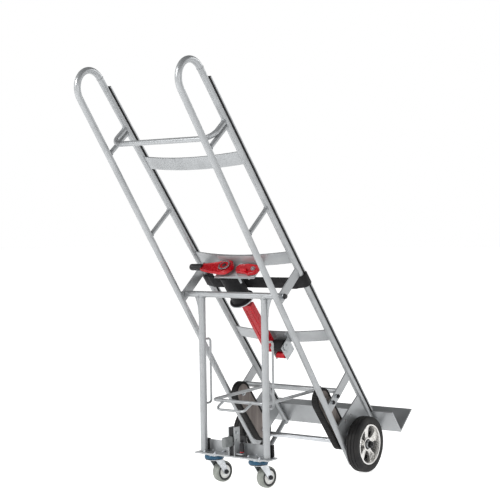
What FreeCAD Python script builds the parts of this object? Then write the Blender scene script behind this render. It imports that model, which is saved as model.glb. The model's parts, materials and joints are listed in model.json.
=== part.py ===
import FreeCAD, Part
import os
from math import asin, atan2, cos, degrees, hypot, pi, radians, sin, sqrt, tan

V = FreeCAD.Vector

# A stair-climbing appliance hand truck, tilted back on its main wheels and its support leg.
# Truck axes, before tilting: X to the right seen from behind, Y forward (towards the load),
# Z up along the front rails. The origin is where the load's back meets the toe plate's top line.
# Leg pieces are built upright in the standing truck's own axes, Z = 0 on the floor.

# ---- driving dimensions, millimetres and degrees ----
TILT = 39.5
WHEEL_R = 101.5
WHEEL_W = 48.0
TYRE_SHOULDER = 12.0
RIM_R = 73.0
RIM_WALL = 9.0
HUB_BACK = 27.0
HUB_FRONT = 12.0
HUB_R = 24.0
HUB_WEB = 10.0
WINDOWS = 5
WINDOW_R = 15.0
WINDOW_RING_R = 43.0
AXLE_COLLAR = 15.0
AXLE_R = 9.5
AXLE_Y = -158.0
AXLE_Z = 81.0

RAIL_R = 11.0
RAIL_WALL = 2.0
RAIL_X = 208.0
FRONT_Y = -17.0
REAR_FOOT_Y = -222.0
REAR_FOOT_Z = 40.0
LOOP_R = 60.0
LOOP_Z = 1643.0

STRAP_H = 50.0
STRAP_T = 4.0
STRAP_BOW = 20.0
STRAP_Z = {"upper": 1296.0, "middle": 868.0, "lower": 498.0}
STRUT_R = 8.0
UPPER_STRUT_Z = 1427.0
MIDDLE_STRUT_Z = 1090.0
HANDLE_BAR_R = 9.0
HANDLE_BAR_FROM_REAR = 36.0
HANDLE_BAR_BEND_R = 40.0

CHANNEL_W = 26.0
CHANNEL_WALL = 1.5
CHANNEL_D = 5.0
CHANNEL_TOP_Z = 1600.0
RUBBER_PROUD = 1.0

TOE_HALF_W = 305.0
TOE_DEPTH = 107.0
TOE_T = 5.0
TOE_BOTTOM_Z = -16.0
TOE_FLANGE_TOP_Z = 88.0

PLATE_T = 5.0
PLATE_H = 36.0
PIVOT_Y = -150.0
PIVOT_Z = 808.0
PIVOT_TUBE_R = 11.0
PIVOT_BOLT_R = 6.0
PIVOT_PLUG = 26.0
LOWER_PLATE_Z = 302.0
LOWER_BAR_R = 10.0
LOWER_BAR_Y = -102.0
LOWER_BAR_Z = 295.5
GUSSET_FRONT_Z = (55.0, 196.0)
GUSSET_REAR_Z = (62.0, 214.0)
GUSSET_HOLE_R = 5.0
GUSSET_HOLES = ((-110.0, 181.0), (-150.0, 192.0))
FOOT_BAR_R = 9.0
FOOT_BAR_BEND_R = 20.0
FOOT_BAR_FLAT = 151.0

CRAWLER_W = 24.0
CRAWLER_IN = 7.0
CRAWLER_Y = -180.0
CRAWLER_TOP_Z = 331.0
CRAWLER_AXLE_GAP = 1.126
CRAWLER_R = 44.0
BELT_T = 9.0
CRAWLER_PLATE_T = 3.0
ROLLER_PIN_R = 5.0
CRAWLER_BOLT_R = 5.0

LEG_R = 12.5
LEG_IN = 23.0
LEG_WALL = 2.0
CASTER_H = 106.0
BASE_IN = 8.0
BASE_BACK = 26.0
BASE_FRONT = 32.0
BASE_T = 5.0
BASE_FLANGE_H = 44.0
BASE_FLANGE_SHORT = 18.0
LEG_GUSSET_H = 95.0
LEG_GUSSET_W = 24.0
GUIDE_R = 4.0
GUIDE_OUT = 45.0
GUIDE_DOWN = 160.0
GUIDE_LOW = 13.0
GUIDE_BEND_R = 12.0

BRACE_R = 6.0
BRACE_IN = 21.0
BRACE_EYE_T = 5.0
BRACE_BEND_R = 20.0
BRACE_BAR_Z = 292.0
FOOT_LOOP_X = (-78.0, 44.0)
FOOT_LOOP_DEPTH = 42.0
FOOT_LOOP_R = 4.5

CASTER_X = 95.5
CASTER_FORWARD = 6.0
CASTER_YAW = 10.0
CASTER_TRAIL = 39.0
CASTER_WHEEL_R = 37.5
CASTER_WHEEL_W = 30.0
CASTER_RIM_R = 27.0
CASTER_RING_R = 32.0
CASTER_BOLT_R = 4.0
KINGPIN_R = 6.0
CASTER_RING_T = 8.0
CASTER_TOP_T = 3.0
CROWN_T = 4.0
ARM_T = 3.0

LATCH_X = (-8.0, 18.0)
LATCH_PIN_R = 4.0
LATCH_PIN_UP = 60.0
LATCH_PIN_BACK = 12.0
KNOB_X = 39.0
KNOB_R = 7.5
KNOB_H = 40.0
KNOB_PIN_R = 3.5
CHEEK_T = 3.0
CHEEK_H = 100.0
PEDAL_X = (-2.0, 12.0)
PEDAL_PAD_X = (-4.0, 14.0)
PEDAL_PAD_BACK = 58.0
PEDAL_PAD_D = 18.0
PEDAL_PAD_H = 27.0

REEL_X = -45.0
REEL_Y = -74.0
REEL_H = 126.0
REEL_R = 46.0
REEL_ROLL_R = 36.0
SPINDLE_R = 8.0
UPPER_LEVER_L = 155.0
LOWER_WINDER_X = 14.0
LOWER_WINDER_Y = -70.0
LOWER_WINDER_W = 50.0
LOWER_SPOOL_R = 22.0
LOWER_PIN_R = 6.0
LOWER_LEVER_L = 205.0
BRACKET_T = 3.0

WEBBING_T = 3.0
WEBBING_W = 50.0
WEBBING_LOW = 22.0

RUNNING_FIT = 0.05
BOLT_CLEARANCE = 0.2
FACE_GAP = 1.0
CURVED_GAP = 0.4

# ---- worked out from the driving dimensions ----
LOOP_Y = FRONT_Y - LOOP_R
LEAN = atan2(LOOP_Y - REAR_FOOT_Y, LOOP_Z) - asin(LOOP_R / hypot(LOOP_Y - REAR_FOOT_Y, LOOP_Z))
LIFT = WHEEL_R - AXLE_Z * cos(radians(TILT)) - AXLE_Y * sin(radians(TILT))
RAIL_FOOT_Z = -RAIL_R
PLATE_IN_X = RAIL_X - PLATE_T / 2
PLATE_OUT_X = RAIL_X + PLATE_T / 2
SIDES = {"left": -1, "right": 1}
HUB_IN_X = PLATE_OUT_X + AXLE_COLLAR + FACE_GAP
WHEEL_X = HUB_IN_X + HUB_BACK
CRAWLER_X = RAIL_X - RAIL_R - CRAWLER_IN - CRAWLER_W / 2
CRAWLER_REACH = CRAWLER_R + AXLE_R + CRAWLER_AXLE_GAP
CRAWLER_Z = (AXLE_Z + sqrt(CRAWLER_REACH ** 2 - (CRAWLER_Y - AXLE_Y) ** 2), CRAWLER_TOP_Z)
BASE_HALF_W = CRAWLER_X - CRAWLER_W / 2 - BASE_IN
BASE_FLANGE_HALF_W = BASE_HALF_W - BASE_FLANGE_SHORT
LEG_X = BASE_HALF_W - LEG_IN
BRACE_X = LEG_X - BRACE_IN


def rear_y(z):
    """Centre line of the rear rail at a height along the truck."""
    return REAR_FOOT_Y + z * tan(LEAN)


def standing(y, z):
    """A truck point (y, z) in the standing truck's axes."""
    a = radians(TILT)
    return y * cos(a) - z * sin(a), y * sin(a) + z * cos(a) + LIFT


BASE_Z = CASTER_H
PIVOT_TUBE_END = PLATE_IN_X - FACE_GAP
LEG_Y, PIVOT_UP = standing(PIVOT_Y, PIVOT_Z)
BAR_Y, BAR_Z = standing(LOWER_BAR_Y, LOWER_BAR_Z)
SLOT_Y = LEG_Y + (LEG_R + GUIDE_OUT - GUIDE_R) / 2
GUIDE_TOP_Z = PIVOT_UP - GUIDE_DOWN
GUIDE_BOTTOM_Z = BRACE_BAR_Z - GUIDE_LOW
LATCH_PIN_Y = LEG_Y - LATCH_PIN_BACK
LATCH_PIN_Z = BASE_Z + LATCH_PIN_UP
RING_Z = (CASTER_H - CASTER_TOP_T - CASTER_RING_T, CASTER_H - CASTER_TOP_T)
ARM_X = CASTER_WHEEL_W / 2 + 2

STRAP_BACK_Y = FRONT_Y - STRAP_BOW - STRAP_T / 2
REEL_TOP_Z = STRAP_Z["middle"] - 26
REEL_Z = (REEL_TOP_Z - REEL_H, REEL_TOP_Z)
WEBBING_Z = (REEL_Z[0] + WEBBING_LOW, REEL_Z[0] + WEBBING_LOW + WEBBING_W)
LEVER_Z = (STRAP_Z["middle"] - 8, STRAP_Z["middle"] + 6)
LOWER_WINDER_Z = STRAP_Z["lower"] - 14
LOWER_CHEEK_X = (LOWER_WINDER_X - LOWER_WINDER_W / 2, LOWER_WINDER_X + LOWER_WINDER_W / 2)
LOWER_LEVER_X = (LOWER_CHEEK_X[0] - 50, LOWER_CHEEK_X[0] - FACE_GAP)
LOWER_LEVER_Z = (LOWER_WINDER_Z - 24, LOWER_WINDER_Z + LOWER_LEVER_L)


def stand(shape):
    """Tilts a shape built in truck axes back to the standing pose."""
    shape.rotate(V(0, 0, 0), V(1, 0, 0), TILT)
    shape.translate(V(0, 0, LIFT))
    return shape


def box(x, y, z):
    """A box between two limits on each axis."""
    return Part.makeBox(x[1] - x[0], y[1] - y[0], z[1] - z[0], V(x[0], y[0], z[0]))


def rod(p, q, r):
    return Part.makeCylinder(r, (q - p).Length, p, q - p)


def tube(p, q, r, wall):
    return rod(p, q, r).cut(rod(p, q, r - wall))


def x_rod(x, y, z, r):
    """A round bar along X between two x values."""
    return rod(V(x[0], y, z), V(x[1], y, z), r)


def fuse(*shapes):
    return shapes[0].multiFuse(list(shapes[1:])).removeSplitter()


def mirrored(shape):
    return shape.mirror(V(0, 0, 0), V(1, 0, 0))


def side(shape, sign):
    """A piece built for the right side, or its mirror image for the left."""
    return shape if sign > 0 else mirrored(shape)


def prism(points, x):
    """A flat plate with an outline in Y and Z, between two x values."""
    corners = [V(x[0], y, z) for y, z in points]
    return Part.Face(Part.makePolygon(corners + corners[:1])).extrude(V(x[1] - x[0], 0, 0))


def stadium(y, z, r, x):
    """An oblong disc with round ends at two heights z, between two x values."""
    ends = [x_rod(x, y, level, r) for level in z]
    return fuse(box(x, (y - r, y + r), z), *ends)


def bent_wire(points, bend_r):
    """Straight runs through the points, each corner rounded by an arc."""
    edges = []
    start = points[0]
    for before, corner, after in zip(points, points[1:], points[2:]):
        d_in = (corner - before).normalize()
        d_out = (after - corner).normalize()
        turn = d_in.getAngle(d_out)
        cut = bend_r * tan(turn / 2)
        a = corner - d_in * cut
        b = corner + d_out * cut
        middle = corner + (d_out - d_in).normalize() * (bend_r / cos(turn / 2) - bend_r)
        edges.append(Part.LineSegment(start, a).toShape())
        edges.append(Part.Arc(a, middle, b).toShape())
        start = b
    edges.append(Part.LineSegment(start, points[-1]).toShape())
    return Part.Wire(edges)


def bent_rod(points, r, bend_r):
    path = bent_wire(points, bend_r)
    profile = Part.Wire([Part.makeCircle(r, points[0], points[1] - points[0])])
    return path.makePipeShell([profile], True, False)


# ---- side frames ----
def front_rail_axis():
    return V(RAIL_X, FRONT_Y, RAIL_FOOT_Z), V(RAIL_X, FRONT_Y, LOOP_Z)


def rear_rail_axis():
    top = V(RAIL_X, LOOP_Y - LOOP_R * cos(LEAN), LOOP_Z + LOOP_R * sin(LEAN))
    return V(RAIL_X, rear_y(REAR_FOOT_Z), REAR_FOOT_Z), top


def rail_solids():
    """The rails as solid bars, used to cope whatever is welded to them."""
    return [rod(*front_rail_axis(), RAIL_R), rod(*rear_rail_axis(), RAIL_R)]


def coped(shape):
    for rail in rail_solids():
        shape = shape.cut(rail)
    return shape


def handle_loop():
    start = V(RAIL_X, FRONT_Y, LOOP_Z)
    outer = Part.Face(Part.Wire([Part.makeCircle(RAIL_R, start, V(0, 0, 1))]))
    inner = Part.Face(Part.Wire([Part.makeCircle(RAIL_R - RAIL_WALL, start, V(0, 0, 1))]))
    return outer.cut(inner).revolve(V(RAIL_X, LOOP_Y, LOOP_Z), V(1, 0, 0), 180 - degrees(LEAN))


def foot_bar():
    """A bar from the front rail's foot, bent up at the back to meet the rear rail."""
    level = REAR_FOOT_Z + FOOT_BAR_R
    corner = V(RAIL_X, FRONT_Y - FOOT_BAR_FLAT, 0)
    points = [V(RAIL_X, FRONT_Y, 0), corner, V(RAIL_X, rear_y(level), level)]
    return coped(bent_rod(points, FOOT_BAR_R, FOOT_BAR_BEND_R))


def bumper_channel():
    back = FRONT_Y + RAIL_R
    z = (TOE_FLANGE_TOP_Z + FACE_GAP, CHANNEL_TOP_Z)
    x = (RAIL_X - CHANNEL_W / 2, RAIL_X + CHANNEL_W / 2)
    hollow = (x[0] + CHANNEL_WALL, x[1] - CHANNEL_WALL)
    outer = box(x, (back, back + CHANNEL_D), z)
    return outer.cut(box(hollow, (back + CHANNEL_WALL, back + CHANNEL_D), z))


def bumper_rubber():
    back = FRONT_Y + RAIL_R
    x = (RAIL_X - CHANNEL_W / 2 + CHANNEL_WALL, RAIL_X + CHANNEL_W / 2 - CHANNEL_WALL)
    y = (back + CHANNEL_WALL, back + CHANNEL_D + RUBBER_PROUD)
    return box(x, y, (TOE_FLANGE_TOP_Z + FACE_GAP, CHANNEL_TOP_Z))


# ---- cross members ----
def cross_strap(z):
    """A flat strap bowed towards the back, welded between the front rails."""
    edges = []
    for offset in (-STRAP_T / 2, STRAP_T / 2):
        ends = [V(s * RAIL_X, FRONT_Y + offset, z - STRAP_H / 2) for s in (-1, 1)]
        middle = V(0, FRONT_Y - STRAP_BOW + offset, z - STRAP_H / 2)
        edges.append((ends, Part.Arc(ends[0], middle, ends[1]).toShape()))
    (a, arc_a), (b, arc_b) = edges
    caps = [Part.LineSegment(a[k], b[k]).toShape() for k in (0, 1)]
    outline = Part.Wire(Part.__sortEdges__([arc_a, caps[1], arc_b, caps[0]]))
    strap = Part.Face(outline).extrude(V(0, 0, STRAP_H))
    return coped(mirrored(coped(strap)))


def strut(z, sign):
    bar = coped(rod(V(RAIL_X, FRONT_Y, z), V(RAIL_X, rear_y(z), z), STRUT_R))
    return side(bar, sign)


def handle_crossbar():
    """A U of round bar on top of the upper struts, its ends bent forward to the front rails."""
    y = rear_y(UPPER_STRUT_Z) + HANDLE_BAR_FROM_REAR
    z = UPPER_STRUT_Z + STRUT_R + HANDLE_BAR_R
    points = [V(-RAIL_X, FRONT_Y, z), V(-RAIL_X, y, z), V(RAIL_X, y, z), V(RAIL_X, FRONT_Y, z)]
    bar = coped(bent_rod(points, HANDLE_BAR_R, HANDLE_BAR_BEND_R))
    return mirrored(coped(mirrored(bar)))


def side_plate(z, holes):
    """A flat plate across one side frame, with round holes at (y, z, r)."""
    blank = box((PLATE_IN_X, PLATE_OUT_X), (rear_y(z), FRONT_Y), (z - PLATE_H / 2, z + PLATE_H / 2))
    plate = coped(blank)
    for y, level, r in holes:
        plate = plate.cut(x_rod((PLATE_IN_X - 1, PLATE_OUT_X + 1), y, level, r))
    return plate


def lower_plate_bolts():
    return ((CRAWLER_Y + 12, LOWER_PLATE_Z + 6), (LOWER_BAR_Y - 30, LOWER_PLATE_Z))


def axle_gusset():
    points = [(FRONT_Y, GUSSET_FRONT_Z[0]), (FRONT_Y, GUSSET_FRONT_Z[1])]
    points += [(rear_y(GUSSET_REAR_Z[1]), GUSSET_REAR_Z[1]), (rear_y(GUSSET_REAR_Z[0]), GUSSET_REAR_Z[0])]
    plate = coped(prism(points, (PLATE_IN_X, PLATE_OUT_X)))
    through = (PLATE_IN_X - 1, PLATE_OUT_X + 1)
    plate = plate.cut(x_rod(through, AXLE_Y, AXLE_Z, AXLE_R))
    for y, z in GUSSET_HOLES:
        plate = plate.cut(x_rod(through, y, z, GUSSET_HOLE_R))
    y, z = gusset_bolt()
    return plate.cut(x_rod(through, y, z, CRAWLER_BOLT_R + BOLT_CLEARANCE))


def gusset_bolt():
    return CRAWLER_Y + 8, CRAWLER_Z[0] + 12


def axle():
    """The axle with a collar beside each gusset and a nut outside each wheel."""
    end = WHEEL_X + WHEEL_W / 2 + 6
    bar = x_rod((-end, end), AXLE_Y, AXLE_Z, AXLE_R)
    nut_x = WHEEL_X + HUB_FRONT + FACE_GAP
    collars = [x_rod((PLATE_OUT_X, PLATE_OUT_X + AXLE_COLLAR), AXLE_Y, AXLE_Z, AXLE_R + 5)]
    collars.append(x_rod((nut_x, nut_x + 8), AXLE_Y, AXLE_Z, AXLE_R + 5))
    return fuse(bar, *collars, *[mirrored(c) for c in collars])


def toe_plate():
    back = FRONT_Y + RAIL_R
    flange = box((-TOE_HALF_W, TOE_HALF_W), (back, back + TOE_T), (TOE_BOTTOM_Z, TOE_FLANGE_TOP_Z))
    shelf = box((-TOE_HALF_W, TOE_HALF_W), (back, TOE_DEPTH), (TOE_BOTTOM_Z, TOE_BOTTOM_Z + TOE_T))
    return fuse(flange, shelf)


# ---- crawlers ----
def crawler_frame():
    """Two oblong side plates joined by the two roller pins."""
    r = CRAWLER_R - BELT_T - 1.5
    inner = CRAWLER_X - CRAWLER_W / 2
    outer = CRAWLER_X + CRAWLER_W / 2
    plates = [stadium(CRAWLER_Y, CRAWLER_Z, r, (inner, inner + CRAWLER_PLATE_T))]
    plates.append(stadium(CRAWLER_Y, CRAWLER_Z, r, (outer - CRAWLER_PLATE_T, outer)))
    pins = [x_rod((inner - 3, outer + 3), CRAWLER_Y, z, ROLLER_PIN_R) for z in CRAWLER_Z]
    return fuse(*plates, *pins)


def crawler_belt():
    x = (CRAWLER_X - CRAWLER_W / 2, CRAWLER_X + CRAWLER_W / 2)
    inside = (x[0] - 1, x[1] + 1)
    outer = stadium(CRAWLER_Y, CRAWLER_Z, CRAWLER_R, x)
    return outer.cut(stadium(CRAWLER_Y, CRAWLER_Z, CRAWLER_R - BELT_T, inside))


def crawler_roller(z):
    gap = CRAWLER_PLATE_T + FACE_GAP
    x = (CRAWLER_X - CRAWLER_W / 2 + gap, CRAWLER_X + CRAWLER_W / 2 - gap)
    disc = x_rod(x, CRAWLER_Y, z, CRAWLER_R - BELT_T - CURVED_GAP)
    return disc.cut(x_rod(x, CRAWLER_Y, z, ROLLER_PIN_R + RUNNING_FIT))


def crawler_bolt(y, z):
    """A bolt with a spacer shank, from the crawler's outer plate through the side plate."""
    shank = x_rod((CRAWLER_X + CRAWLER_W / 2, PLATE_OUT_X), y, z, CRAWLER_BOLT_R)
    head = x_rod((PLATE_OUT_X, PLATE_OUT_X + 5), y, z, CRAWLER_BOLT_R + 3)
    return fuse(shank, head)


def frame_bolts():
    """Pivot bolts of the leg and the bolts that hold the crawlers and the lower bar."""
    shank = x_rod((PIVOT_TUBE_END - PIVOT_PLUG + 2, PLATE_OUT_X), PIVOT_Y, PIVOT_Z, PIVOT_BOLT_R)
    head = x_rod((PLATE_OUT_X, PLATE_OUT_X + 8), PIVOT_Y, PIVOT_Z, PIVOT_BOLT_R + 4)
    pieces = [fuse(shank, head), crawler_bolt(*lower_plate_bolts()[0]), crawler_bolt(*gusset_bolt())]
    y, z = lower_plate_bolts()[1]
    bolt = x_rod((PLATE_IN_X - 5, PLATE_OUT_X + 5), y, z, CRAWLER_BOLT_R)
    pieces.append(fuse(bolt, x_rod((PLATE_OUT_X, PLATE_OUT_X + 5), y, z, CRAWLER_BOLT_R + 3)))
    return Part.makeCompound(pieces + [mirrored(p) for p in pieces])


# ---- main wheels, built about the X axis ----
def wheel_hub():
    rim = x_rod((-WHEEL_W / 2 + 3, WHEEL_W / 2 - 3), 0, 0, RIM_R)
    rim = rim.cut(x_rod((-WHEEL_W / 2, WHEEL_W / 2), 0, 0, RIM_R - RIM_WALL))
    web = x_rod((-HUB_WEB / 2, HUB_WEB / 2), 0, 0, RIM_R - RIM_WALL / 2)
    for k in range(WINDOWS):
        a = 2 * pi * k / WINDOWS
        y, z = WINDOW_RING_R * sin(a), WINDOW_RING_R * cos(a)
        web = web.cut(x_rod((-HUB_WEB, HUB_WEB), y, z, WINDOW_R))
    hub = fuse(rim, web, x_rod((-HUB_BACK, HUB_FRONT), 0, 0, HUB_R))
    return hub.cut(x_rod((-HUB_BACK, HUB_FRONT), 0, 0, AXLE_R + RUNNING_FIT))


def tyre(r, rim_r, w, shoulder):
    body = x_rod((-w / 2, w / 2), 0, 0, r)
    outer = [e for e in body.Edges if e.Curve.TypeId == "Part::GeomCircle"]
    return body.makeFillet(shoulder, outer).cut(x_rod((-w / 2, w / 2), 0, 0, rim_r))


def on_axle(shape, sign):
    """A wheel piece moved onto the axle, its front face outwards."""
    shape.translate(V(WHEEL_X, AXLE_Y, AXLE_Z))
    return side(shape, sign)


# ---- support leg, in the standing axes ----
def leg_pivot_tube():
    body = x_rod((-PIVOT_TUBE_END, PIVOT_TUBE_END), LEG_Y, PIVOT_UP, PIVOT_TUBE_R)
    plug = PIVOT_TUBE_END - PIVOT_PLUG
    body = body.cut(x_rod((-plug, plug), LEG_Y, PIVOT_UP, PIVOT_TUBE_R - RAIL_WALL))
    across = (-PIVOT_TUBE_END, PIVOT_TUBE_END)
    return body.cut(x_rod(across, LEG_Y, PIVOT_UP, PIVOT_BOLT_R + RUNNING_FIT))


def leg_post():
    post = tube(V(LEG_X, LEG_Y, BASE_Z + BASE_T), V(LEG_X, LEG_Y, PIVOT_UP), LEG_R, LEG_WALL)
    return post.cut(x_rod((0, PIVOT_TUBE_END), LEG_Y, PIVOT_UP, PIVOT_TUBE_R))


def leg_gusset():
    """A curved web in the outer corner between the post and the pivot tube."""
    z = PIVOT_UP
    low = z - LEG_GUSSET_H
    a, b = V(LEG_X, LEG_Y - 2, z), V(LEG_X + LEG_R + LEG_GUSSET_W, LEG_Y - 2, z)
    c = V(LEG_X + LEG_R + 3, LEG_Y - 2, low + 25)
    d = V(LEG_X, LEG_Y - 2, low)
    curve = Part.Arc(b, V(LEG_X + LEG_R + 7, LEG_Y - 2, z - LEG_GUSSET_H * 0.4), c).toShape()
    lines = [Part.LineSegment(a, b).toShape(), curve]
    lines += [Part.LineSegment(c, d).toShape(), Part.LineSegment(d, a).toShape()]
    web = Part.Face(Part.Wire(lines)).extrude(V(0, 4, 0))
    web = web.cut(rod(V(LEG_X, LEG_Y, low - 1), V(LEG_X, LEG_Y, z + 1), LEG_R))
    return web.cut(x_rod((0, PIVOT_TUBE_END), LEG_Y, z, PIVOT_TUBE_R))


def leg_base_angle():
    """An angle section: the flat part under the posts and a flange in front of them."""
    z = (BASE_Z, BASE_Z + BASE_T)
    front = LEG_Y + BASE_FRONT
    flat = box((-BASE_HALF_W, BASE_HALF_W), (LEG_Y - BASE_BACK, front), z)
    across = (-BASE_FLANGE_HALF_W, BASE_FLANGE_HALF_W)
    angle = fuse(flat, box(across, (front - BASE_T, front), (BASE_Z, BASE_Z + BASE_FLANGE_H)))
    for x in (-CASTER_X, CASTER_X):
        angle = angle.cut(rod(V(x, caster_y(), z[0]), V(x, caster_y(), z[1]), KINGPIN_R + 1))
    return angle


def guide_rod():
    y = LEG_Y + GUIDE_OUT
    points = [V(LEG_X, LEG_Y, GUIDE_TOP_Z), V(LEG_X, y, GUIDE_TOP_Z)]
    points += [V(LEG_X, y, GUIDE_BOTTOM_Z), V(LEG_X, LEG_Y, GUIDE_BOTTOM_Z)]
    wire = bent_rod(points, GUIDE_R, GUIDE_BEND_R)
    return wire.cut(rod(V(LEG_X, LEG_Y, BASE_Z), V(LEG_X, LEG_Y, PIVOT_UP), LEG_R))


def leg_buffer():
    """A rubber cap on the end of the base angle's flange."""
    y = (LEG_Y + BASE_FRONT - BASE_T - 3, LEG_Y + BASE_FRONT + 3)
    z = (BASE_Z + BASE_T + 1, BASE_Z + BASE_FLANGE_H + 3)
    cap = box((BASE_FLANGE_HALF_W - 8, BASE_FLANGE_HALF_W + 3), y, z)
    inside = (LEG_Y + BASE_FRONT - BASE_T, LEG_Y + BASE_FRONT)
    flange = (BASE_FLANGE_HALF_W - 8, BASE_FLANGE_HALF_W)
    return cap.cut(box(flange, inside, (z[0], BASE_Z + BASE_FLANGE_H)))


def latch_bracket():
    """Two upright cheeks on the base angle, the pedal's pin across them and the knob's lug."""
    z = (BASE_Z + BASE_T, BASE_Z + BASE_T + CHEEK_H)
    y = (LEG_Y - BASE_BACK, LEG_Y + 6)
    cheeks = [box((x, x + CHEEK_T), y, z) for x in (LATCH_X[0], LATCH_X[1] - CHEEK_T)]
    web = box(LATCH_X, (y[1] - CHEEK_T, y[1]), (z[0], z[0] + 34))
    pin = x_rod((LATCH_X[0] - 3, LATCH_X[1] + 3), LATCH_PIN_Y, LATCH_PIN_Z, LATCH_PIN_R)
    lug = box((LATCH_X[1], KNOB_X + 8), (LATCH_PIN_Y - 8, LATCH_PIN_Y + 8), (z[0] + 6, z[0] + 10))
    bracket = fuse(*cheeks, web, pin, lug)
    low = V(KNOB_X, LATCH_PIN_Y, z[0])
    return bracket.cut(rod(low, low + V(0, 0, 20), KNOB_PIN_R + RUNNING_FIT))


def foot_pedal():
    """A lever on the latch pin: a tread pad behind it and a hook in front of it."""
    y0, z0 = LATCH_PIN_Y, LATCH_PIN_Z
    boss = x_rod(PEDAL_X, y0, z0, 10)
    arm = box(PEDAL_X, (y0 - 46, y0 + 60), (z0 - 5, z0 + 5))
    hook = box(PEDAL_X, (y0 + 50, y0 + 60), (z0 - 18, z0 + 5))
    pad_y = (y0 - PEDAL_PAD_BACK, y0 - PEDAL_PAD_BACK + PEDAL_PAD_D)
    pad = box(PEDAL_PAD_X, pad_y, (z0 + 15 - PEDAL_PAD_H, z0 + 15))
    pad = pad.makeFillet(3, pad.Edges)
    lever = fuse(boss, arm, hook, pad)
    return lever.cut(x_rod(PEDAL_X, y0, z0, LATCH_PIN_R + RUNNING_FIT))


def latch_knob():
    low = BASE_Z + BASE_T + 2
    y = LATCH_PIN_Y
    lug_top = BASE_Z + BASE_T + 10
    stem = rod(V(KNOB_X, y, low), V(KNOB_X, y, lug_top + 10), KNOB_PIN_R)
    grip = rod(V(KNOB_X, y, lug_top + FACE_GAP), V(KNOB_X, y, lug_top + KNOB_H), KNOB_R)
    return fuse(stem, grip)


# ---- brace, in the standing axes ----
def brace_rod():
    """A U of round bar: an eye round the lower crossbar on each arm, the back bar in the guides."""
    points = [V(BRACE_X, BAR_Y, BAR_Z), V(BRACE_X, SLOT_Y, BRACE_BAR_Z)]
    points += [V(-BRACE_X, SLOT_Y, BRACE_BAR_Z), V(-BRACE_X, BAR_Y, BAR_Z)]
    bar = bent_rod(points, BRACE_R, BRACE_BEND_R)
    eye_r = LOWER_BAR_R + BRACE_EYE_T
    eyes = [x_rod((x - BRACE_R, x + BRACE_R), BAR_Y, BAR_Z, eye_r) for x in (-BRACE_X, BRACE_X)]
    across = x_rod((-BRACE_X - 20, BRACE_X + 20), BAR_Y, BAR_Z, LOWER_BAR_R + RUNNING_FIT)
    return fuse(bar, *eyes).cut(across)


def foot_loop():
    """A D-shaped bar under the brace's back bar, to lift it by foot or hand."""
    drop = FOOT_LOOP_DEPTH * sin(radians(40))
    back = FOOT_LOOP_DEPTH * cos(radians(40))
    a, b = FOOT_LOOP_X
    y, z = SLOT_Y - back, BRACE_BAR_Z - drop
    points = [V(a + 14, SLOT_Y, BRACE_BAR_Z), V(a, y, z), V(b, y, z), V(b + 14, SLOT_Y, BRACE_BAR_Z)]
    wire = bent_rod(points, FOOT_LOOP_R, 14)
    return wire.cut(x_rod((-BRACE_X, BRACE_X), SLOT_Y, BRACE_BAR_Z, BRACE_R))


# ---- casters, built with the stem on the Z axis and the wheel trailing towards +Y ----
def caster_y():
    return LEG_Y + CASTER_FORWARD


def caster_mount():
    """The fixed top plate and bearing ring of one caster."""
    plate = box((-36, 36), (-30, 30), (RING_Z[1], CASTER_H))
    ring = rod(V(0, 0, RING_Z[0]), V(0, 0, RING_Z[1]), CASTER_RING_R)
    bore = rod(V(0, 0, 0), V(0, 0, CASTER_H + 1), KINGPIN_R + RUNNING_FIT)
    return fuse(plate, ring).cut(bore)


def caster_fork():
    top = RING_Z[0] - CURVED_GAP
    crown = rod(V(0, 0, top - CROWN_T), V(0, 0, top), CASTER_RING_R - 3)
    kingpin = rod(V(0, 0, top - CROWN_T), V(0, 0, CASTER_H), KINGPIN_R)
    arms = []
    for sign in (-1, 1):
        x = sorted((sign * ARM_X, sign * (ARM_X + ARM_T)))
        blade = [(-16, top), (20, top), (CASTER_TRAIL + 9, CASTER_WHEEL_R + 6)]
        blade.append((CASTER_TRAIL - 10, CASTER_WHEEL_R - 4))
        arms.append(fuse(prism(blade, x), x_rod(x, CASTER_TRAIL, CASTER_WHEEL_R, 11)))
    fork = fuse(crown, kingpin, *arms)
    bolt = x_rod((-ARM_X - ARM_T - 4, ARM_X + ARM_T + 4), CASTER_TRAIL, CASTER_WHEEL_R, CASTER_BOLT_R)
    return Part.makeCompound([fork.cut(bolt), bolt])


def caster_wheel():
    rim = x_rod((-CASTER_WHEEL_W / 2 + 1, CASTER_WHEEL_W / 2 - 1), 0, 0, CASTER_RIM_R)
    return rim.cut(x_rod((-CASTER_WHEEL_W, CASTER_WHEEL_W), 0, 0, CASTER_BOLT_R + RUNNING_FIT))


def on_caster(shape, sign):
    shape.rotate(V(0, 0, 0), V(0, 0, 1), -CASTER_YAW)
    shape.translate(V(sign * CASTER_X, caster_y(), 0))
    return shape


def on_caster_axle(shape, sign):
    shape.translate(V(0, CASTER_TRAIL, CASTER_WHEEL_R))
    return on_caster(shape, sign)


# ---- strap winders ----
def upper_winder_base():
    """A bracket on the middle cross strap: back plate, and a flange above the reel."""
    z = (REEL_Z[1] + FACE_GAP, STRAP_Z["middle"] + STRAP_H / 2)
    back = box((-88, 84), (STRAP_BACK_Y - BRACKET_T, STRAP_BACK_Y), z)
    flange = box((-88, 84), (REEL_Y - 30, STRAP_BACK_Y), (z[0], z[0] + BRACKET_T))
    bore = rod(V(REEL_X, REEL_Y, z[0] - 1), V(REEL_X, REEL_Y, z[1]), SPINDLE_R + RUNNING_FIT)
    return fuse(back, flange).cut(bore)


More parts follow.
